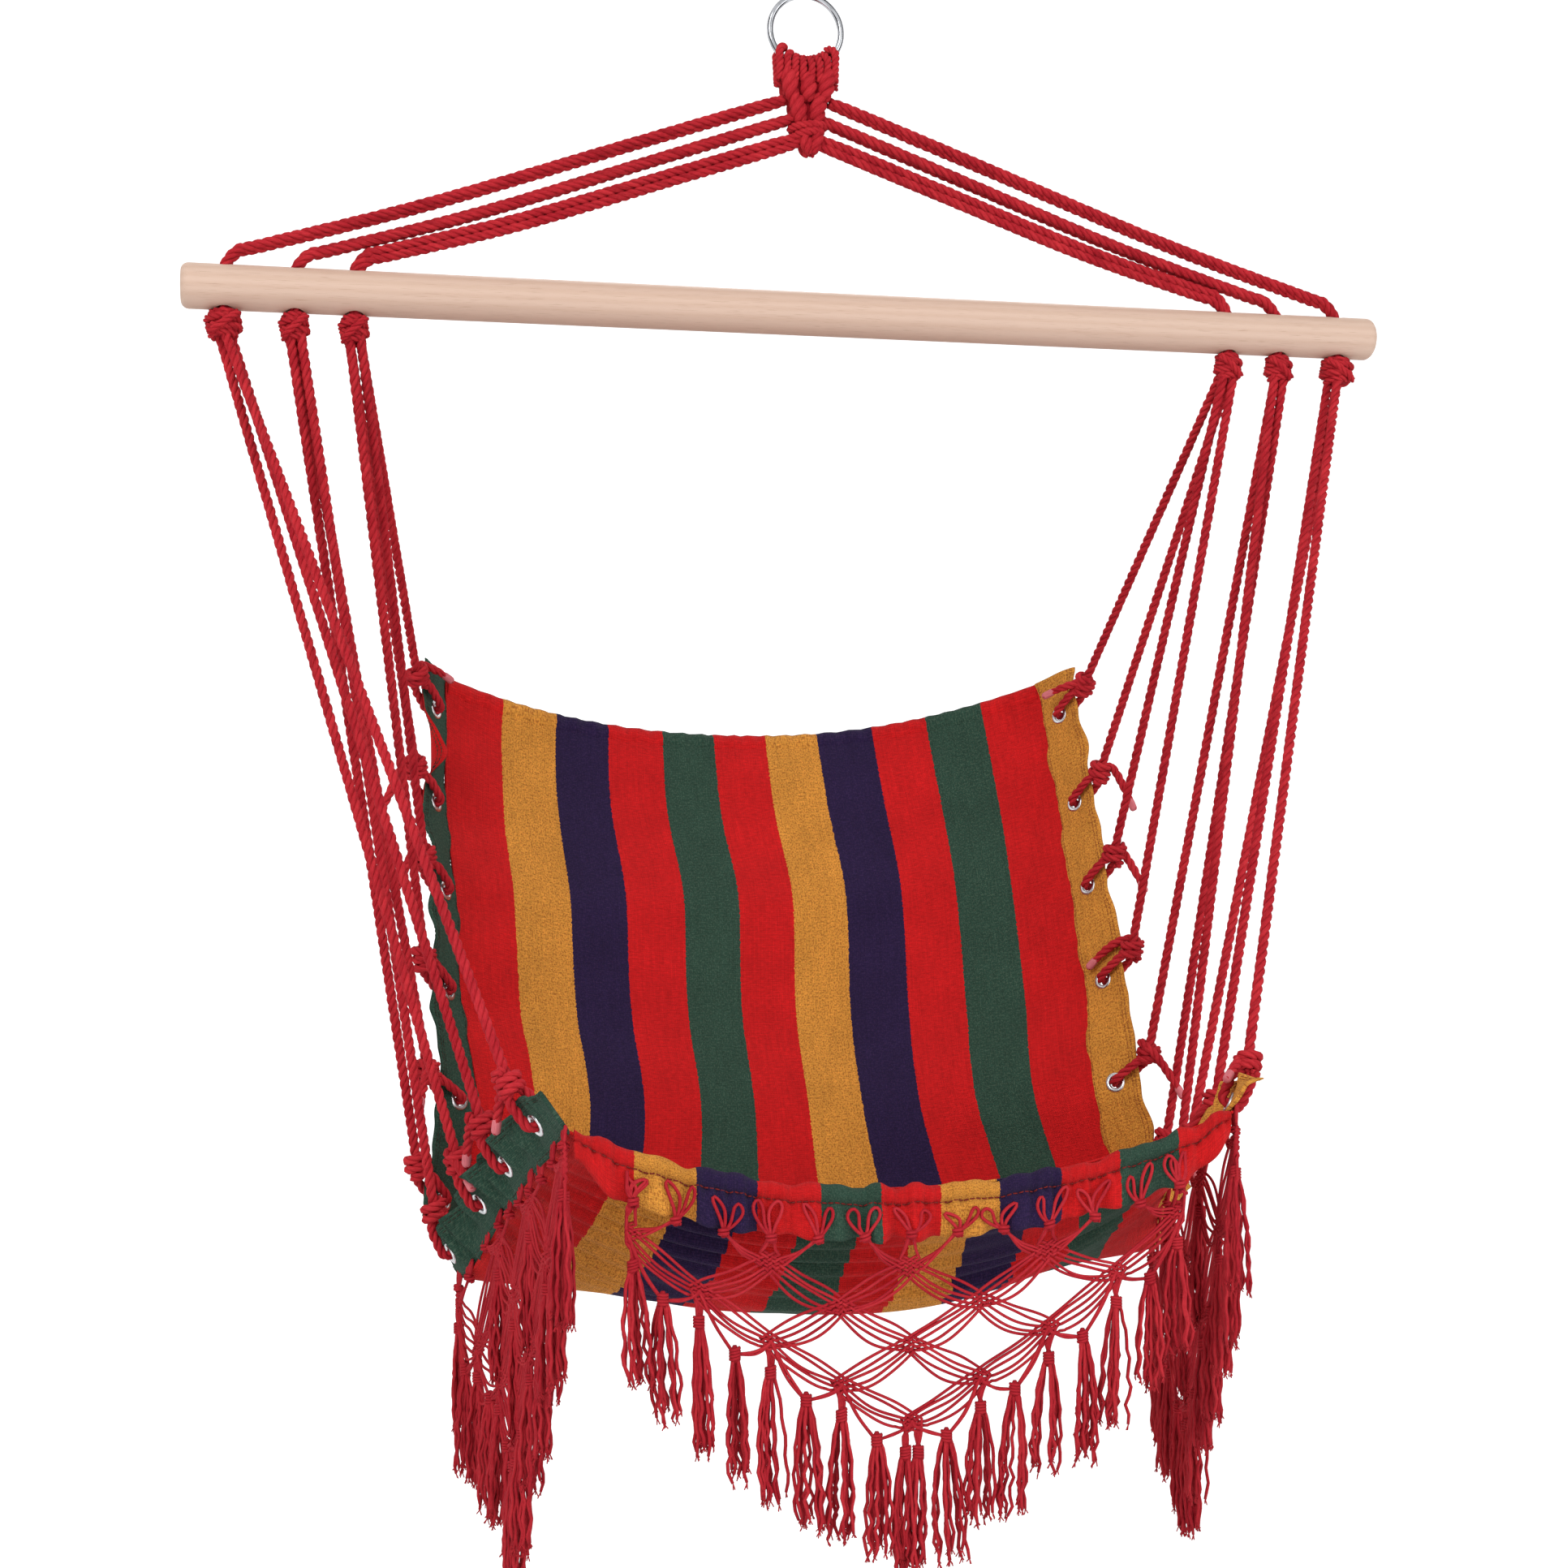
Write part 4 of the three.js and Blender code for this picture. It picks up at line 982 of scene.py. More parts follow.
def clothHeight(share, across):
    # The back's broad wave, ripples, pleats under the lip, the eyelets' pull and the top hem's gathers
    flatEdge = 1 - across**4
    (low, high), (rise, fall) = cloth["waveReach"], cloth["waveFade"]
    back = smoothStep((share - low) / rise) * smoothStep((high - share) / fall)
    turned = (share - cloth["waveStart"]) / cloth["waveLength"] * fullTurn + cloth["waveSlant"] * across
    height = cloth["wave"] * flatEdge * back * np.sin(turned)
    height = height + cloth["ripple"] * flatEdge * ripples(share, across, *cloth["backRipples"])
    rise, fall = cloth["pleatFade"]
    front = smoothStep((share - cloth["frontShare"]) / rise) * smoothStep((1.0 - share) / fall)
    pleats = 0.75 * ripples(share, across, *cloth["finePleats"]) + 0.5 * ripples(share, across, *cloth["widePleats"])
    height = height + cloth["pleat"] * flatEdge * front * pleats
    for side, rail in rails.items():
        towards = side * across
        near = np.exp(-(1 - np.clip(towards, 0, 1)) * clothWidth / 2 / cloth["pullAcross"]) * (towards > 0)
        for distance in rail.eyeletDistances():
            pulled = np.exp(-((share * rail.length - distance) / cloth["pullAlong"]) ** 2)
            height = height + cloth["pull"] * near * pulled * (1 - np.abs(across) ** 24)
    gather = np.exp(-share * clothLength / cloth["gatherLength"]) * waved(across, cloth["gather"])
    return height + cloth["gatherHeight"] * gather * flatEdge


def clothPoint(share, across, lift=0.0):
    step = 1e-3
    down = plainCloth(np.minimum(share + step, 1), across) - plainCloth(np.maximum(share - step, 0), across)
    over = plainCloth(share, np.minimum(across + step, 1)) - plainCloth(share, np.maximum(across - step, -1))
    normal = unit(np.cross(over, down))
    return plainCloth(share, across) + normal * (clothHeight(share, across) + lift)[..., None]


def makeCloth(material):
    few, many = cloth["rows"]
    back = np.linspace(0, cloth["frontShare"], few, endpoint=False)
    share = np.concatenate([back, np.linspace(cloth["frontShare"], 1, many)])[:, None]
    even = np.linspace(-1, 1, cloth["columns"])
    across = np.sin(even * math.pi / 2 * cloth["crowding"]) / math.sin(math.pi / 2 * cloth["crowding"])
    sway = sum(size * np.sin(share * pace + slant * across + phase) for size, pace, slant, phase in cloth["sways"])
    ends = smoothStep(share / cloth["swayFade"]) * smoothStep((1 - share) / cloth["swayFade"])
    places = clothMap(across, share * clothLength)
    places[..., 0] += cloth["wander"] * (1 - across**2) * sway * ends
    faces = gridFaces(few + many, cloth["columns"])
    piece = makeMesh("striped_seat", clothPoint(share, across), faces, material, places)
    applied(piece, "SOLIDIFY", thickness=cloth["thickness"], offset=0.0)
    return hang(piece, "sling", ["seat_cloth"])


topEdge = {
    "columns": 200, "sides": 16, "reach": 0.995, "depth": 0.0085, "height": 0.0026, "girth": 0.004,
    "depthWave": (0.05, 60, 0, 0, 0), "pucker": (0.25, 120, 0, 2, 17), "seamStart": 0.6, "seamHeight": 0.72,
}


def makeTopHem(material):
    # The rolled top edge: folded over twice and sewn, so that it puckers
    form = topEdge
    across, turn = np.linspace(-form["reach"], form["reach"], form["columns"]), circle(form["sides"])
    depth = form["depth"] / clothLength
    rings = []
    for a in across:
        share = depth * (1 + np.cos(turn)) * (1 + waved(a, form["depthWave"]))
        lift = form["height"] * np.sin(turn) * (1 + waved(a, form["pucker"]))
        lift = lift * np.where(np.cos(turn) > form["seamStart"], form["seamHeight"], 1)
        rings.append(clothPoint(share, np.full(len(turn), a), lift))
    places = clothMap(across[:, None], turn * form["girth"])
    return hang(makeMesh("top_hem", rings, tubeFaces(len(across), len(turn)), material, places), "sling")


def addStitches(heap, line, away, form):
    # A row of stitches laid on a line of points, a little proud of the cloth
    length, radius = form["stitchShare"], form["stitch"]
    line = evenly(line, form["stitchPace"])
    t = np.linspace(0, 1, 4)[:, None]
    for here, there in zip(line[:-1], line[1:]):
        step = there - here
        path = here + step * (0.5 - length / 2) + step * length * t
        heap.tube(path + away * radius * (np.sin(t * math.pi) - 0.35), radius, 5)


def hemBend(distance, side):
    # How far the outer half of the left hem rolls over between its two highest eyelets, in radians
    if side > 0:
        return 0 * distance
    first, second = rails[side].eyeletDistances()[:2]
    return hem["roll"] * np.exp(-((distance - (first + second) / 2) / hem["rollLength"]) ** 2)


def hemPoint(side, distance, across, level):
    # A place on the hem: across -1 to 1 towards the outer edge, level in metres off its middle layer
    rail, half, outer = rails[side], hem["width"] / 2, across > 0
    centre, outward, normal = rail.at(distance)
    toFront = smoothStep((distance / rail.length - hem["frontStart"]) / hem["frontFade"])
    toEnd = rail.length - distance
    slow, quick = hem["wavePaces"]
    wave = hem["wave"] + hem["frontWave"] * toFront
    wave = wave * (np.sin(distance * slow + 2 * side) + 0.5 * np.sin(distance * quick + 2))
    # The eyelets hold it flat
    tight = 1 + 0 * distance
    for place in rail.eyeletDistances():
        tight = tight * (1 - hem["gripShare"] * np.exp(-((distance - place) / hem["grip"]) ** 2))
    wave = wave * tight
    drift = hem["foldDrift"] * np.sin(distance * hem["driftPace"] + side)
    ridges = 1 - 2 * np.abs(np.sin(distance * hem["foldPace"] / 2 + drift + hem["foldLean"] * across))
    fold = hem["fold"] * toFront * np.abs(tight) ** hem["foldPress"] * ridges
    fold = fold * smoothStep(across * 0.6 + 0.8) * smoothStep(toEnd / hem["foldFade"])
    # The outer half bends over, and narrows towards the front end
    bend = hemBend(distance, side) + 1e-4
    turned = bend * np.maximum(across, 0)
    rolled = np.sin(turned) / bend * half + np.minimum(across, 0) * half
    rolled = rolled * (1 + hem["edgeWave"] * tight * np.sin(distance * hem["edgePace"] + side) * outer)
    rolled = rolled * (1 - hem["endNarrow"] * smoothStep(1 - toEnd / hem["endLength"]) * outer)
    sunk = -(1 - np.cos(turned)) / bend * half + fold
    sunk = sunk + wave * np.sign(across) * across**2 * np.where(across < 0, 0.5, 1)
    facing = normal * np.cos(turned)[..., None] + outward * np.sin(turned)[..., None]
    return centre + outward * rolled[..., None] + normal * sunk[..., None] + facing * level[..., None]


def makeHem(side, material):
    rail, thick, name = rails[side], hem["thickness"] / 2, sideNames[side]
    distance = np.linspace(0, rail.length, hem["rows"])
    over = np.linspace(-1, 1, hem["columns"])
    across = np.concatenate([over, np.linspace(1, -1, hem["columns"])])
    face = np.concatenate([np.ones(len(over)), -np.ones(len(over))])
    roundness = np.sqrt(np.clip(1 - np.abs(across) ** 14, 0, 1))
    seam = 1 - hem["seamDip"] * np.exp(-((np.abs(across) - hem["seam"]) / hem["seamWide"]) ** 2)
    pucker = 1 + waved(distance, hem["pucker"])[:, None] * (np.abs(across) > hem["puckerStart"])
    level = (hem["edge"] + (1 - hem["edge"]) * roundness) * face * seam * thick * pucker
    far, wide = np.broadcast_arrays(distance[:, None], across[None, :])
    # The rolled stretch of the left hem shows the red cloth it is lined with
    lined = (hemBend(far, side) > 0.02) & (face > 0)
    places = np.stack([(wide + 1) / 2 * hem["width"] * 0.9 + 0.002 + lined * hem["width"], far], -1)
    faces = tubeFaces(len(distance), len(across))
    piece = makeMesh(f"side_hem_{name}_strip", hemPoint(side, far, wide, level), faces, material, places)
    holes = []
    for f in eyeletFrames(side):
        holes.append((f["centre"], np.stack([f["along"], np.cross(f["normal"], f["along"]), f["normal"]], 1)))
    bored(piece, holes, hem["punch"], hem["punchLength"], hem["punchSides"])
    hang(piece, "sling", [f"side_hem_{name}"])
    pieces = [piece]
    flat = 0 * distance
    for way, word in ((1, "in"), (-1, "out")):
        heap = Heap()
        for share in hem["stitchShares"]:
            line = hemPoint(side, distance, share + flat, way * thick * 0.78 + flat)
            addStitches(heap, line, rail.at(distance)[2].mean(0) * way, hem)
        pieces.append(hang(heap.piece(f"hem_stitch_{name}_{word}", hemStitchMaterial[side]), "sling"))
    return pieces


stripeMaterial = clothMaterial("stripedCanvas", clothLook["stripes"], clothWidth)
greenMaterial = clothMaterial("greenCanvas", ["green", "red"], 2 * hem["width"])
ochreMaterial = clothMaterial("ochreCanvas", ["ochre"], 1.0)
seatPiece = makeCloth(stripeMaterial)
topHem = makeTopHem(stripeMaterial)
hemPieces = makeHem(-1, greenMaterial) + makeHem(1, ochreMaterial)
print("cloth and hems made")

# Front band: the gathered lip with its stitch line

band = {
    "height": 0.038, "rise": 0.004, "thickness": 0.0044, "gap": 0.0003, "reach": 0.985, "seamReach": 0.835,
    "columns": 460, "groove": 0.33, "grooveReach": 0.2, "endHeight": 0.55, "endReach": 0.12, "mapGirth": 0.09,
    "slowWaves": [(0.6, 34, 0, 2.4, 7), (0.4, 61, 1.0, 0, 0)],
    "quickWaves": [(0.6, 160, 0, 5, 13), (0.4, 97, 0, 0, 0)],
    "ruffle": 0.0058, "pucker": 0.0022, "heightWave": 0.12, "lineWave": 0.0026, "linePucker": 0.0014,
    "stitch": 0.0005, "stitchPace": 0.0046, "stitchShare": 0.7,
    # The section of the fold, as shares of its height down and of its thickness forwards
    "section": [
        (0.14, 0.0), (0.02, 0.1), (0.0, 0.45), (0.03, 0.95), (0.11, 1.34), (0.21, 1.38), (0.29, 1.06), (0.33, 0.76),
        (0.37, 1.04), (0.47, 1.32), (0.64, 1.42), (0.84, 1.24), (0.97, 0.86), (1.0, 0.5), (0.94, 0.15), (0.55, 0.0),
    ],
}


def makeFrontBand(material):
    across = np.linspace(-band["reach"], band["reach"], band["columns"])
    front = plainCloth(np.ones(len(across)), across)
    slow, quick = waved(across, *band["slowWaves"]), waved(across, *band["quickWaves"])
    full = smoothStep((band["reach"] - np.abs(across)) / band["endReach"])
    fullness = band["endHeight"] + (1 - band["endHeight"]) * full

    def crease(down, forward):
        # A line that runs along the whole fold
        near = math.exp(-abs(down - band["groove"]) / band["grooveReach"]) * (forward > 0)
        gathers = band["ruffle"] * slow * down**1.5 + band["pucker"] * quick * near
        proud = forward * band["thickness"] + gathers * (forward > 0.1)
        high = band["rise"] - down * band["height"] * fullness * (1 + band["heightWave"] * slow)
        high = high + band["lineWave"] * slow + band["linePucker"] * quick * near
        return np.stack([front[:, 0], front[:, 1] - band["gap"] - proud, front[:, 2] + high], 1)

    verts = np.stack([crease(*stop) for stop in band["section"]], 1)
    places = clothMap(across[:, None], np.linspace(0, band["mapGirth"], verts.shape[1]))
    piece = makeMesh("front_band_fold", verts, tubeFaces(len(across), verts.shape[1]), material, places)
    applied(piece, "SUBSURF", levels=1, render_levels=1)
    hang(piece, "sling", ["front_band"])
    heap = Heap()
    addStitches(heap, crease(band["groove"], 0.95)[6:-6], point(0, -1, 0), band)
    return [piece, hang(heap.piece("front_band_stitch", stitchMaterial), "sling")]


# Fringes: bundles of fine cord knotted into a net, with tassels along its V

fringe = {
    "cord": 0.0011, "loop": 0.0013, "strand": 0.0014, "nodePitch": 0.0024, "weave": 0.0012, "lead": 0.009,
    "step": 0.0013, "endGap": 0.004, "drop": 0.106, "neck": 0.021, "shortNeck": 0.022, "spread": 0.0045,
    "knotSway": 0.0032, "head": (0.003116, 0.0080), "root": 0.0020, "flare": 0.0112, "flat": 0.75, "sway": 0.004,
    "stray": 0.0045,
    "earWide": (0.0022, 0.0044), "earBow": 0.0045, "earKnot": (0.0030, 0.0048),
    # A loop's way up and back: share of its height, and half widths to the side
    "earLoop": [
        (0, 0), (0.3, -0.5), (0.62, -1.0), (0.86, -0.85), (1.0, 0), (0.88, 0.85), (0.66, 1.0), (0.34, 0.45), (0, 0),
    ],
}
frontNet = {
    "knots": 5, "cords": 5, "midPitch": 0.0042, "sag": 0.0028, "wander": 0.0008, "filled": False, "strands": 12,
    "firstDrop": 0.018, "rowDrop": 0.026, "rise": 0.0255, "proud": 0.0062, "splay": 0.0105, "knotDrop": -0.0020,
}
sideNet = {
    "knots": 4, "cords": 8, "midPitch": 0.0060, "sag": 0.0060, "wander": 0.0016, "filled": True, "strands": 15,
    "firstDrop": 0.018, "rowDrop": 0.050, "rise": 0.008, "proud": 0.0, "splay": 0.0030, "knotDrop": 0.0065,
}


def seamPlaces(stations, facing):
    level = stations - (stations @ facing)[:, None] * facing
    level[:, 2] = 0
    far = distances(level)
    return far - far[-1] / 2


def makeFringe(name, node, stations, facing, form, seed):
    heap, chance = Heap(), np.random.default_rng(seed)
    places = seamPlaces(stations, facing)
    half, knots, cords = places[-1], form["knots"], form["cords"]
    pitch = 2 * half / (knots - 1)
    direction = unit(np.array([pitch / 2, form["rowDrop"]]))
    linkLength = math.hypot(pitch / 2, form["rowDrop"])
    crossing = 2 * math.atan2(form["rowDrop"], pitch / 2)

    def hung(stops):
        # From places along the seam, drops and depths to the frame
        stops = np.atleast_2d(stops)
        x = np.clip(stops[:, 0], -half, half)
        spot = np.stack([np.interp(x, places, stations[:, k]) for k in range(3)], 1)
        return spot - stops[:, 1:2] * upAxis + stops[:, 2:3] * facing

    def level(x):
        across = (hung((min(x + 0.005, half), 0, 0)) - hung((max(x - 0.005, -half), 0, 0)))[0]
        across[2] = 0
        return unit(across)

    def withinSeam(x):
        return np.clip(x, fringe["endGap"] - half, half - fringe["endGap"])

    def nodeAt(row, k):
        return np.array([(k + row / 2) * pitch - half, form["firstDrop"] + row * form["rowDrop"]])

    def cord(path, radius=fringe["cord"]):
        heap.tube(path, radius, 5, 0.5 + chance.uniform(-0.07, 0.07))

    def winding(centre, across, size, turns, radius):
        # A few turns of cord about a core, as every small knot here
        wide, rise = size
        turn = np.linspace(0, turns * fullTurn, 14 * turns + 1)
        climb = (turn / turn[-1] - 0.5) * rise
        lean = chance.uniform(-0.5, 0.5)
        path = centre + wide * around(turn, across, facing)
        heap.tube(path + (climb + lean * wide * np.cos(turn) * 0.5)[:, None] * upAxis, radius, 5, 0.47)
        # The core, a little darker than its turns: painted shade inside the knot
        t = np.linspace(-1, 1, 7)
        heap.tube(centre + t[:, None] * upAxis * rise * 0.75, wide * 0.95 * np.sqrt(1 - t**2 * 0.8), 8, 0.4)

    def earDrop(x):
        return form["knotDrop"] + fringe["knotSway"] * math.sin(x * 170 + seed)

    def ear(x):
        # Two loops sewn to the seam, each widest above its middle, and gathered in a small knot
        low = earDrop(x)
        t, sideways = np.array(fringe["earLoop"]).T
        for lean in (-1, 1):
            high, root = form["rise"] * chance.uniform(0.72, 1.0), lean * form["splay"] * chance.uniform(0.45, 1.25)
            wide, bow = chance.uniform(*fringe["earWide"]), chance.uniform(-1, 1) * fringe["earBow"]
            along = x + root * t**0.85 + wide * sideways + bow * np.sin(t * math.pi)
            path = np.stack([along, low - (low + high) * t, 0.0012 * t**6 - form["proud"]], 1)
            cord(smoothPath(hung(path), 0.002), fringe["loop"])
        winding(hung((x, low, -form["proud"]))[0], level(x), fringe["earKnot"], 2, fringe["loop"])

    def chain(nodes, lean, foot):
        # Cords side by side from the ears through a line of crossings, woven with those that lean the other way
        along = direction * (lean, 1)
        side = np.array([-along[1], along[0]])
        total = (len(nodes) - 1) * linkLength
        count = max(int((total + 0.015) / fringe["step"]), 6)
        s = np.linspace(-fringe["lead"], total + fringe["lead"] * 0.6, count)
        nearest = np.clip(np.round(s / linkLength), 0, len(nodes) - 1) * linkLength
        within = np.where((s > 0) & (s < total), s / linkLength % 1, 0)
        spread = np.sin(math.pi * within)
        width = fringe["nodePitch"] + (form["midPitch"] - fringe["nodePitch"]) * spread**0.8
        gap = fringe["nodePitch"] / math.sin(crossing)
        for c in range(cords):
            o = c - (cords - 1) / 2
            sag = form["sag"] * chance.uniform(0.6, 1.4)
            wander = np.sin(s * chance.uniform(60, 130) + chance.uniform(0, 6))
            wander = form["wander"] * (0.4 + 0.6 * spread) * wander
            flat = nodes[0] + s[:, None] * along + (o * width + wander)[:, None] * side
            middle = nearest - lean * o * fringe["nodePitch"] / math.tan(crossing)
            window = smoothStep((2.6 * gap - np.abs(s - middle)) / 0.002)
            depth = lean * (-1) ** c * fringe["weave"] * np.cos(math.pi * (s - middle) / gap) * window
            run = np.column_stack([flat[:, 0], flat[:, 1] + sag * spread, depth])
            # Down from its ear at one end, and into its tassel at the other
            earX = withinSeam(nodes[0][0] - lean * pitch / 3 * (lean * o >= 0))
            start = np.array([earX + 0.0008 * o, earDrop(earX), -form["proud"]])
            knee = (start + run[0]) / 2 + (0, 0.002 + 0.0008 * o, 0)
            lead = smoothPath([start, knee, run[0]], 0.003)
            bend = np.array([foot[0] + 0.0009 * o * -lean, foot[1] + fringe["neck"] * 0.45, 0.0004 * o])
            end = np.array([foot[0] + 0.0005 * o, foot[1] + fringe["neck"], 0.0006 * (c % 2)])
            tail = smoothPath([run[-1], bend, end], 0.003)
            cord(hung(np.vstack([lead[:-1], run, tail[1:]])))

    def tassel(x, drop, neck):
        head, across = hung((x, drop + neck, 0))[0], level(x)
        length = fringe["drop"] * chance.uniform(0.93, 1.03) - neck
        winding(head, across, fringe["head"], 4, fringe["cord"] * 1.1)
        t = np.linspace(0, 1, 14)
        reach = fringe["root"] + (fringe["flare"] - fringe["root"]) * np.sin(0.62 * math.pi * t**0.8)
        sway = chance.uniform(-1, 1) * fringe["sway"]
        for _ in range(form["strands"]):
            angle, far = chance.uniform(0, fullTurn), math.sqrt(chance.uniform(0, 1))
            own = length * chance.uniform(0.86, 1.0)
            wavy, pace, phase = chance.uniform(0.0006, 0.0018), chance.uniform(240, 420), chance.uniform(0, 6.3)
            wave = wavy * np.sqrt(t)
            a = far * math.cos(angle) * reach + sway * t**2 + wave * np.sin(own * t * pace + phase)
            b = far * math.sin(angle) * reach * fringe["flat"] + wave * np.cos(own * t * pace * 0.8 + phase)
            path = head + a[:, None] * across + b[:, None] * facing - (own * t)[:, None] * upAxis
            cord(path, fringe["strand"] * np.where(t > 0.97, 0.8, 0.95))
            for _ in range(3):
                # Frayed ends
                sideways = across * chance.uniform(-0.5, 0.5) + facing * chance.uniform(-0.5, 0.5)
                stray = (sideways - upAxis * chance.uniform(0.5, 1)) * fringe["stray"]
                heap.tube(path[-1] + np.linspace(-0.2, 1, 4)[:, None] * stray, 0.0005, 3, 0.56)

    for k in range(knots):
        for shift in (-1, 0, 1):
            ear(float(withinSeam(nodeAt(0, k)[0] + shift * pitch / 3)))
    for lean in (1, -1):
        for k in range(knots):
            first = k if lean > 0 else knots - 1 - k
            nodes = [nodeAt(row, first if lean > 0 else first - row) for row in range(knots - k)]
            # The two tassels at the V's foot hang side by side, and those at its ends a little inwards
            apart = {1: -lean, knots: lean}.get(len(nodes), 0)
            foot = nodes[-1] + (apart * fringe["spread"], 0)
            chain(nodes, lean, foot)
            tassel(*foot, fringe["neck"])
    neck = fringe["shortNeck"]
    for lean in (1, -1):
        for row in range(knots - 1):
            # Each of these hangs on two cords from the knot above and two from the knot below
            ends = []
            for k in (row, row + 1):
                ends.append((lean * (k * pitch / 2 - half), form["firstDrop"] + k * form["rowDrop"]))
            x, drop = (ends[0][0] + ends[1][0]) / 2, (ends[0][1] + ends[1][1]) / 2 + form["sag"]
            for c in (-1.5, -0.5, 0.5, 1.5):
                knotX, knotLow = ends[0 if c * lean < 0 else 1]
                inward = 0.002 * np.sign(x - knotX)
                slack = chance.uniform(0.001, 0.004)
                cord(smoothPath(hung([
                    (knotX, knotLow - 0.001, -0.001), (knotX + inward, knotLow + 0.0025 + 0.0008 * abs(c), -0.0012),
                    ((knotX + x) / 2 + 0.001 * c, (knotLow + drop + neck) / 2 + slack, -0.0008),
                    (x + c * 0.0006, drop + neck, 0),
                ]), 0.0025))
            tassel(x, drop, neck)
    for row in range(knots - 2 if form["filled"] else 0):
        for k in range(1, knots - 1 - row):
            x, drop = nodeAt(row, k)
            for c in (-1, 0, 1):
                lower = [(x + 0.0016 * c, drop + neck / 2, 0), (x + 0.0006 * c, drop + neck, 0)]
                cord(hung([(x + 0.001 * c, drop, -0.001)] + lower))
            tassel(x, drop, neck)
    return hang(heap.piece(name, cordMaterial), "sling", [node])


bandPieces = makeFrontBand(stripeMaterial)
lip = plainCloth(np.ones(260), np.linspace(-band["seamReach"], band["seamReach"], 260))
lip = lip + point(0, -band["gap"] - band["thickness"] / 2, band["rise"] - band["height"] - band["gap"])
fringePieces = [makeFringe("front_fringe_net", "front_fringe", lip, point(0, 1, 0), frontNet, 5)]
for side, rail in rails.items():
    # The side seams, from a little behind the seventh eyelet to the front end
    centre, outward, _ = rail.at(np.linspace(rail.eyeletDistances()[6] - 0.012, rail.length, 40))
    seam = centre - outward * hem["width"] / 2 + point(side * 0.003, 0, -0.001)
    node = f"side_fringe_{sideNames[side]}"
    fringePieces.append(makeFringe(f"{node}_net", node, seam, point(1, 0, 0), sideNet, 20 + side))
print("front band and fringes made")

# Floor, light and camera

studio = {
    "floorDrop": 0.30, "floor": 0.82, "floorReach": 7.0, "floorBack": 2.0, "floorBend": 1.5, "wallTop": 5.0,
    "lift": 0.42, "world": 0.62, "flag": 0.02, "flagSize": 1.3,
    "flags": [(-1.7, -0.9, 0.2), (1.7, -0.7, 0.2), (0.4, -0.6, 1.7)],
    "lamps": {  # place, target, size, power
        "key": ((-2.2, -2.6, 1.4), (0, 0, -0.6), 2.0, 72), "fill": ((2.6, -2.2, 0.2), (0, 0, -0.6), 2.4, 32),
        "back": ((0.6, 2.2, 1.6), (0, 0, -0.6), 1.6, 20), "low": ((0.5, -2.4, -1.2), (0, 0, -1.0), 1.6, 12),
    },
}
view = {
    "place": (-0.415, -1.823, -0.720), "yaw": 12.07, "pitch": 2.94, "roll": 0.51,
    "focalPixels": 2833, "frameHeight": 1932, "sensor": 36,
}


def seenRays(tree):
    # 1 for the camera and for what mirrors or lets through the background, else 0
    rays = addNode(tree, "ShaderNodeLightPath").outputs
    mirrored = maths(tree, "MAXIMUM", rays["Is Glossy Ray"], rays["Is Transmission Ray"])
    return maths(tree, "MAXIMUM", rays["Is Camera Ray"], mirrored)


def sheetOf(name, verts, faces, material):
    mesh = bpy.data.meshes.new(name)
    mesh.from_pydata(verts, [], faces)
    mesh.materials.append(material)
    return placed(name, mesh)


def aimed(item, place, target):
    item.location = place
    item.rotation_euler = (Vector(target) - Vector(place)).to_track_quat("-Z", "Y").to_euler()


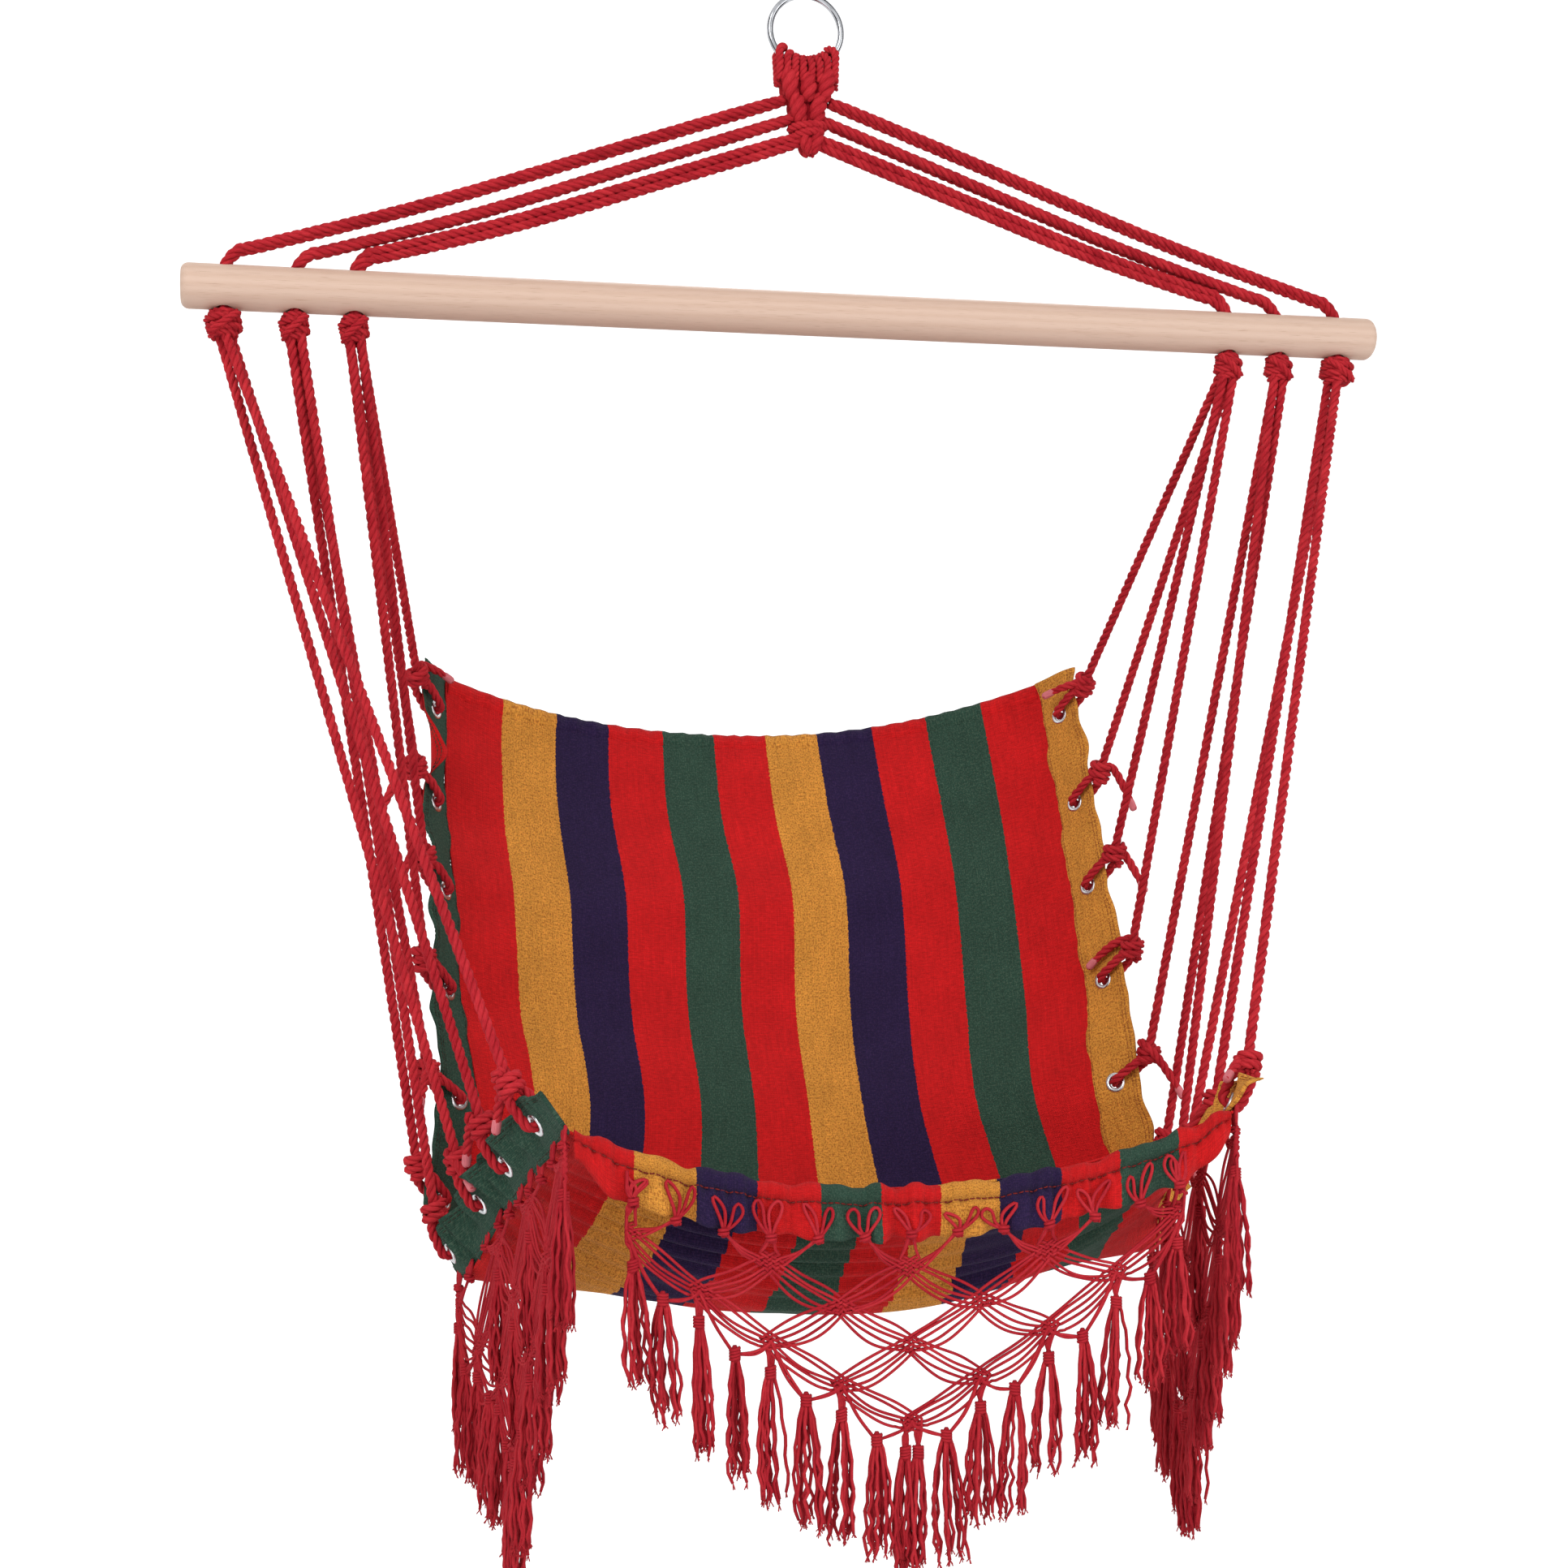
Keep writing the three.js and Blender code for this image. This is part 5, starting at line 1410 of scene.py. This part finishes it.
def makeFloor():
    level, back, bend = cadBounds[0][2] - studio["floorDrop"], studio["floorBack"], studio["floorBend"]
    reach = studio["floorReach"]
    line = [(-reach, level), (back, level)]
    turned = np.linspace(0, math.pi / 2, 12)[1:]
    line += [(back + bend * math.sin(a), level + bend * (1 - math.cos(a))) for a in turned]
    line += [(back + bend, studio["wallTop"])]
    verts = [(x, y, z) for x in (-reach, reach) for y, z in line]
    n = len(line)
    # A little light of its own, for the camera and for what mirrors it, so that the background reads as white paper
    material, tree, shader = newMaterial("paleFloor", {
        "Roughness": 0.9, "Base Color": (studio["floor"],) * 3 + (1,), "Emission Color": (1, 1, 1, 1),
    })
    setInputs(tree, shader, {"Emission Strength": maths(tree, "MULTIPLY", seenRays(tree), studio["lift"])})
    floor = sheetOf("studio_floor", verts, [(i, i + 1, n + i + 1, n + i) for i in range(n - 1)], material)
    floor.data.shade_smooth()


def makeFlag(name, place):
    # A dark card that only the steel mirrors
    half = studio["flagSize"] / 2
    material, _, _ = newMaterial(name, {"Roughness": 0.9, "Base Color": (studio["flag"],) * 3 + (1,)})
    verts = [(x * half, y * half * 2, 0) for x, y in ((-1, -1), (1, -1), (1, 1), (-1, 1))]
    card = sheetOf(name, verts, [(0, 1, 2, 3)], material)
    aimed(card, place, (0, 0, 0))
    card.visible_camera = card.visible_diffuse = card.visible_shadow = card.visible_transmission = False


def makeLamp(name, place, target, size, power):
    lamp = bpy.data.lights.new(name, "AREA")
    lamp.shape = "SQUARE"
    lamp.size, lamp.energy = size, power
    aimed(placed(name, lamp), place, target)


def makeWorld():
    world = bpy.data.worlds.new("studio")
    world.use_nodes = True
    tree = world.node_tree
    white = maths(tree, "MULTIPLY", seenRays(tree), 1 - studio["world"])
    setInputs(tree, tree.nodes["Background"], {0: (1, 1, 1, 1), 1: maths(tree, "ADD", white, studio["world"])})
    bpy.context.scene.world = world


def makeCamera():
    camera = bpy.data.cameras.new("camera")
    camera.sensor_width = view["sensor"]
    camera.lens = view["focalPixels"] / view["frameHeight"] * view["sensor"]
    cameraObject = placed("camera", camera)
    cameraObject.location = view["place"]
    cameraObject.rotation_mode = "XYZ"
    yaw, pitch, roll = (math.radians(view[key]) for key in ("yaw", "pitch", "roll"))
    cameraObject.rotation_euler = (math.pi / 2 + pitch, roll, -yaw)
    bpy.context.scene.camera = cameraObject


makeFloor()
for number, place in enumerate(studio["flags"]):
    makeFlag(f"flag_{number}", place)
for name, lamp in studio["lamps"].items():
    makeLamp(name, *lamp)
makeWorld()
bpy.context.scene.view_settings.view_transform = "Standard"
makeCamera()

print("scene ready")
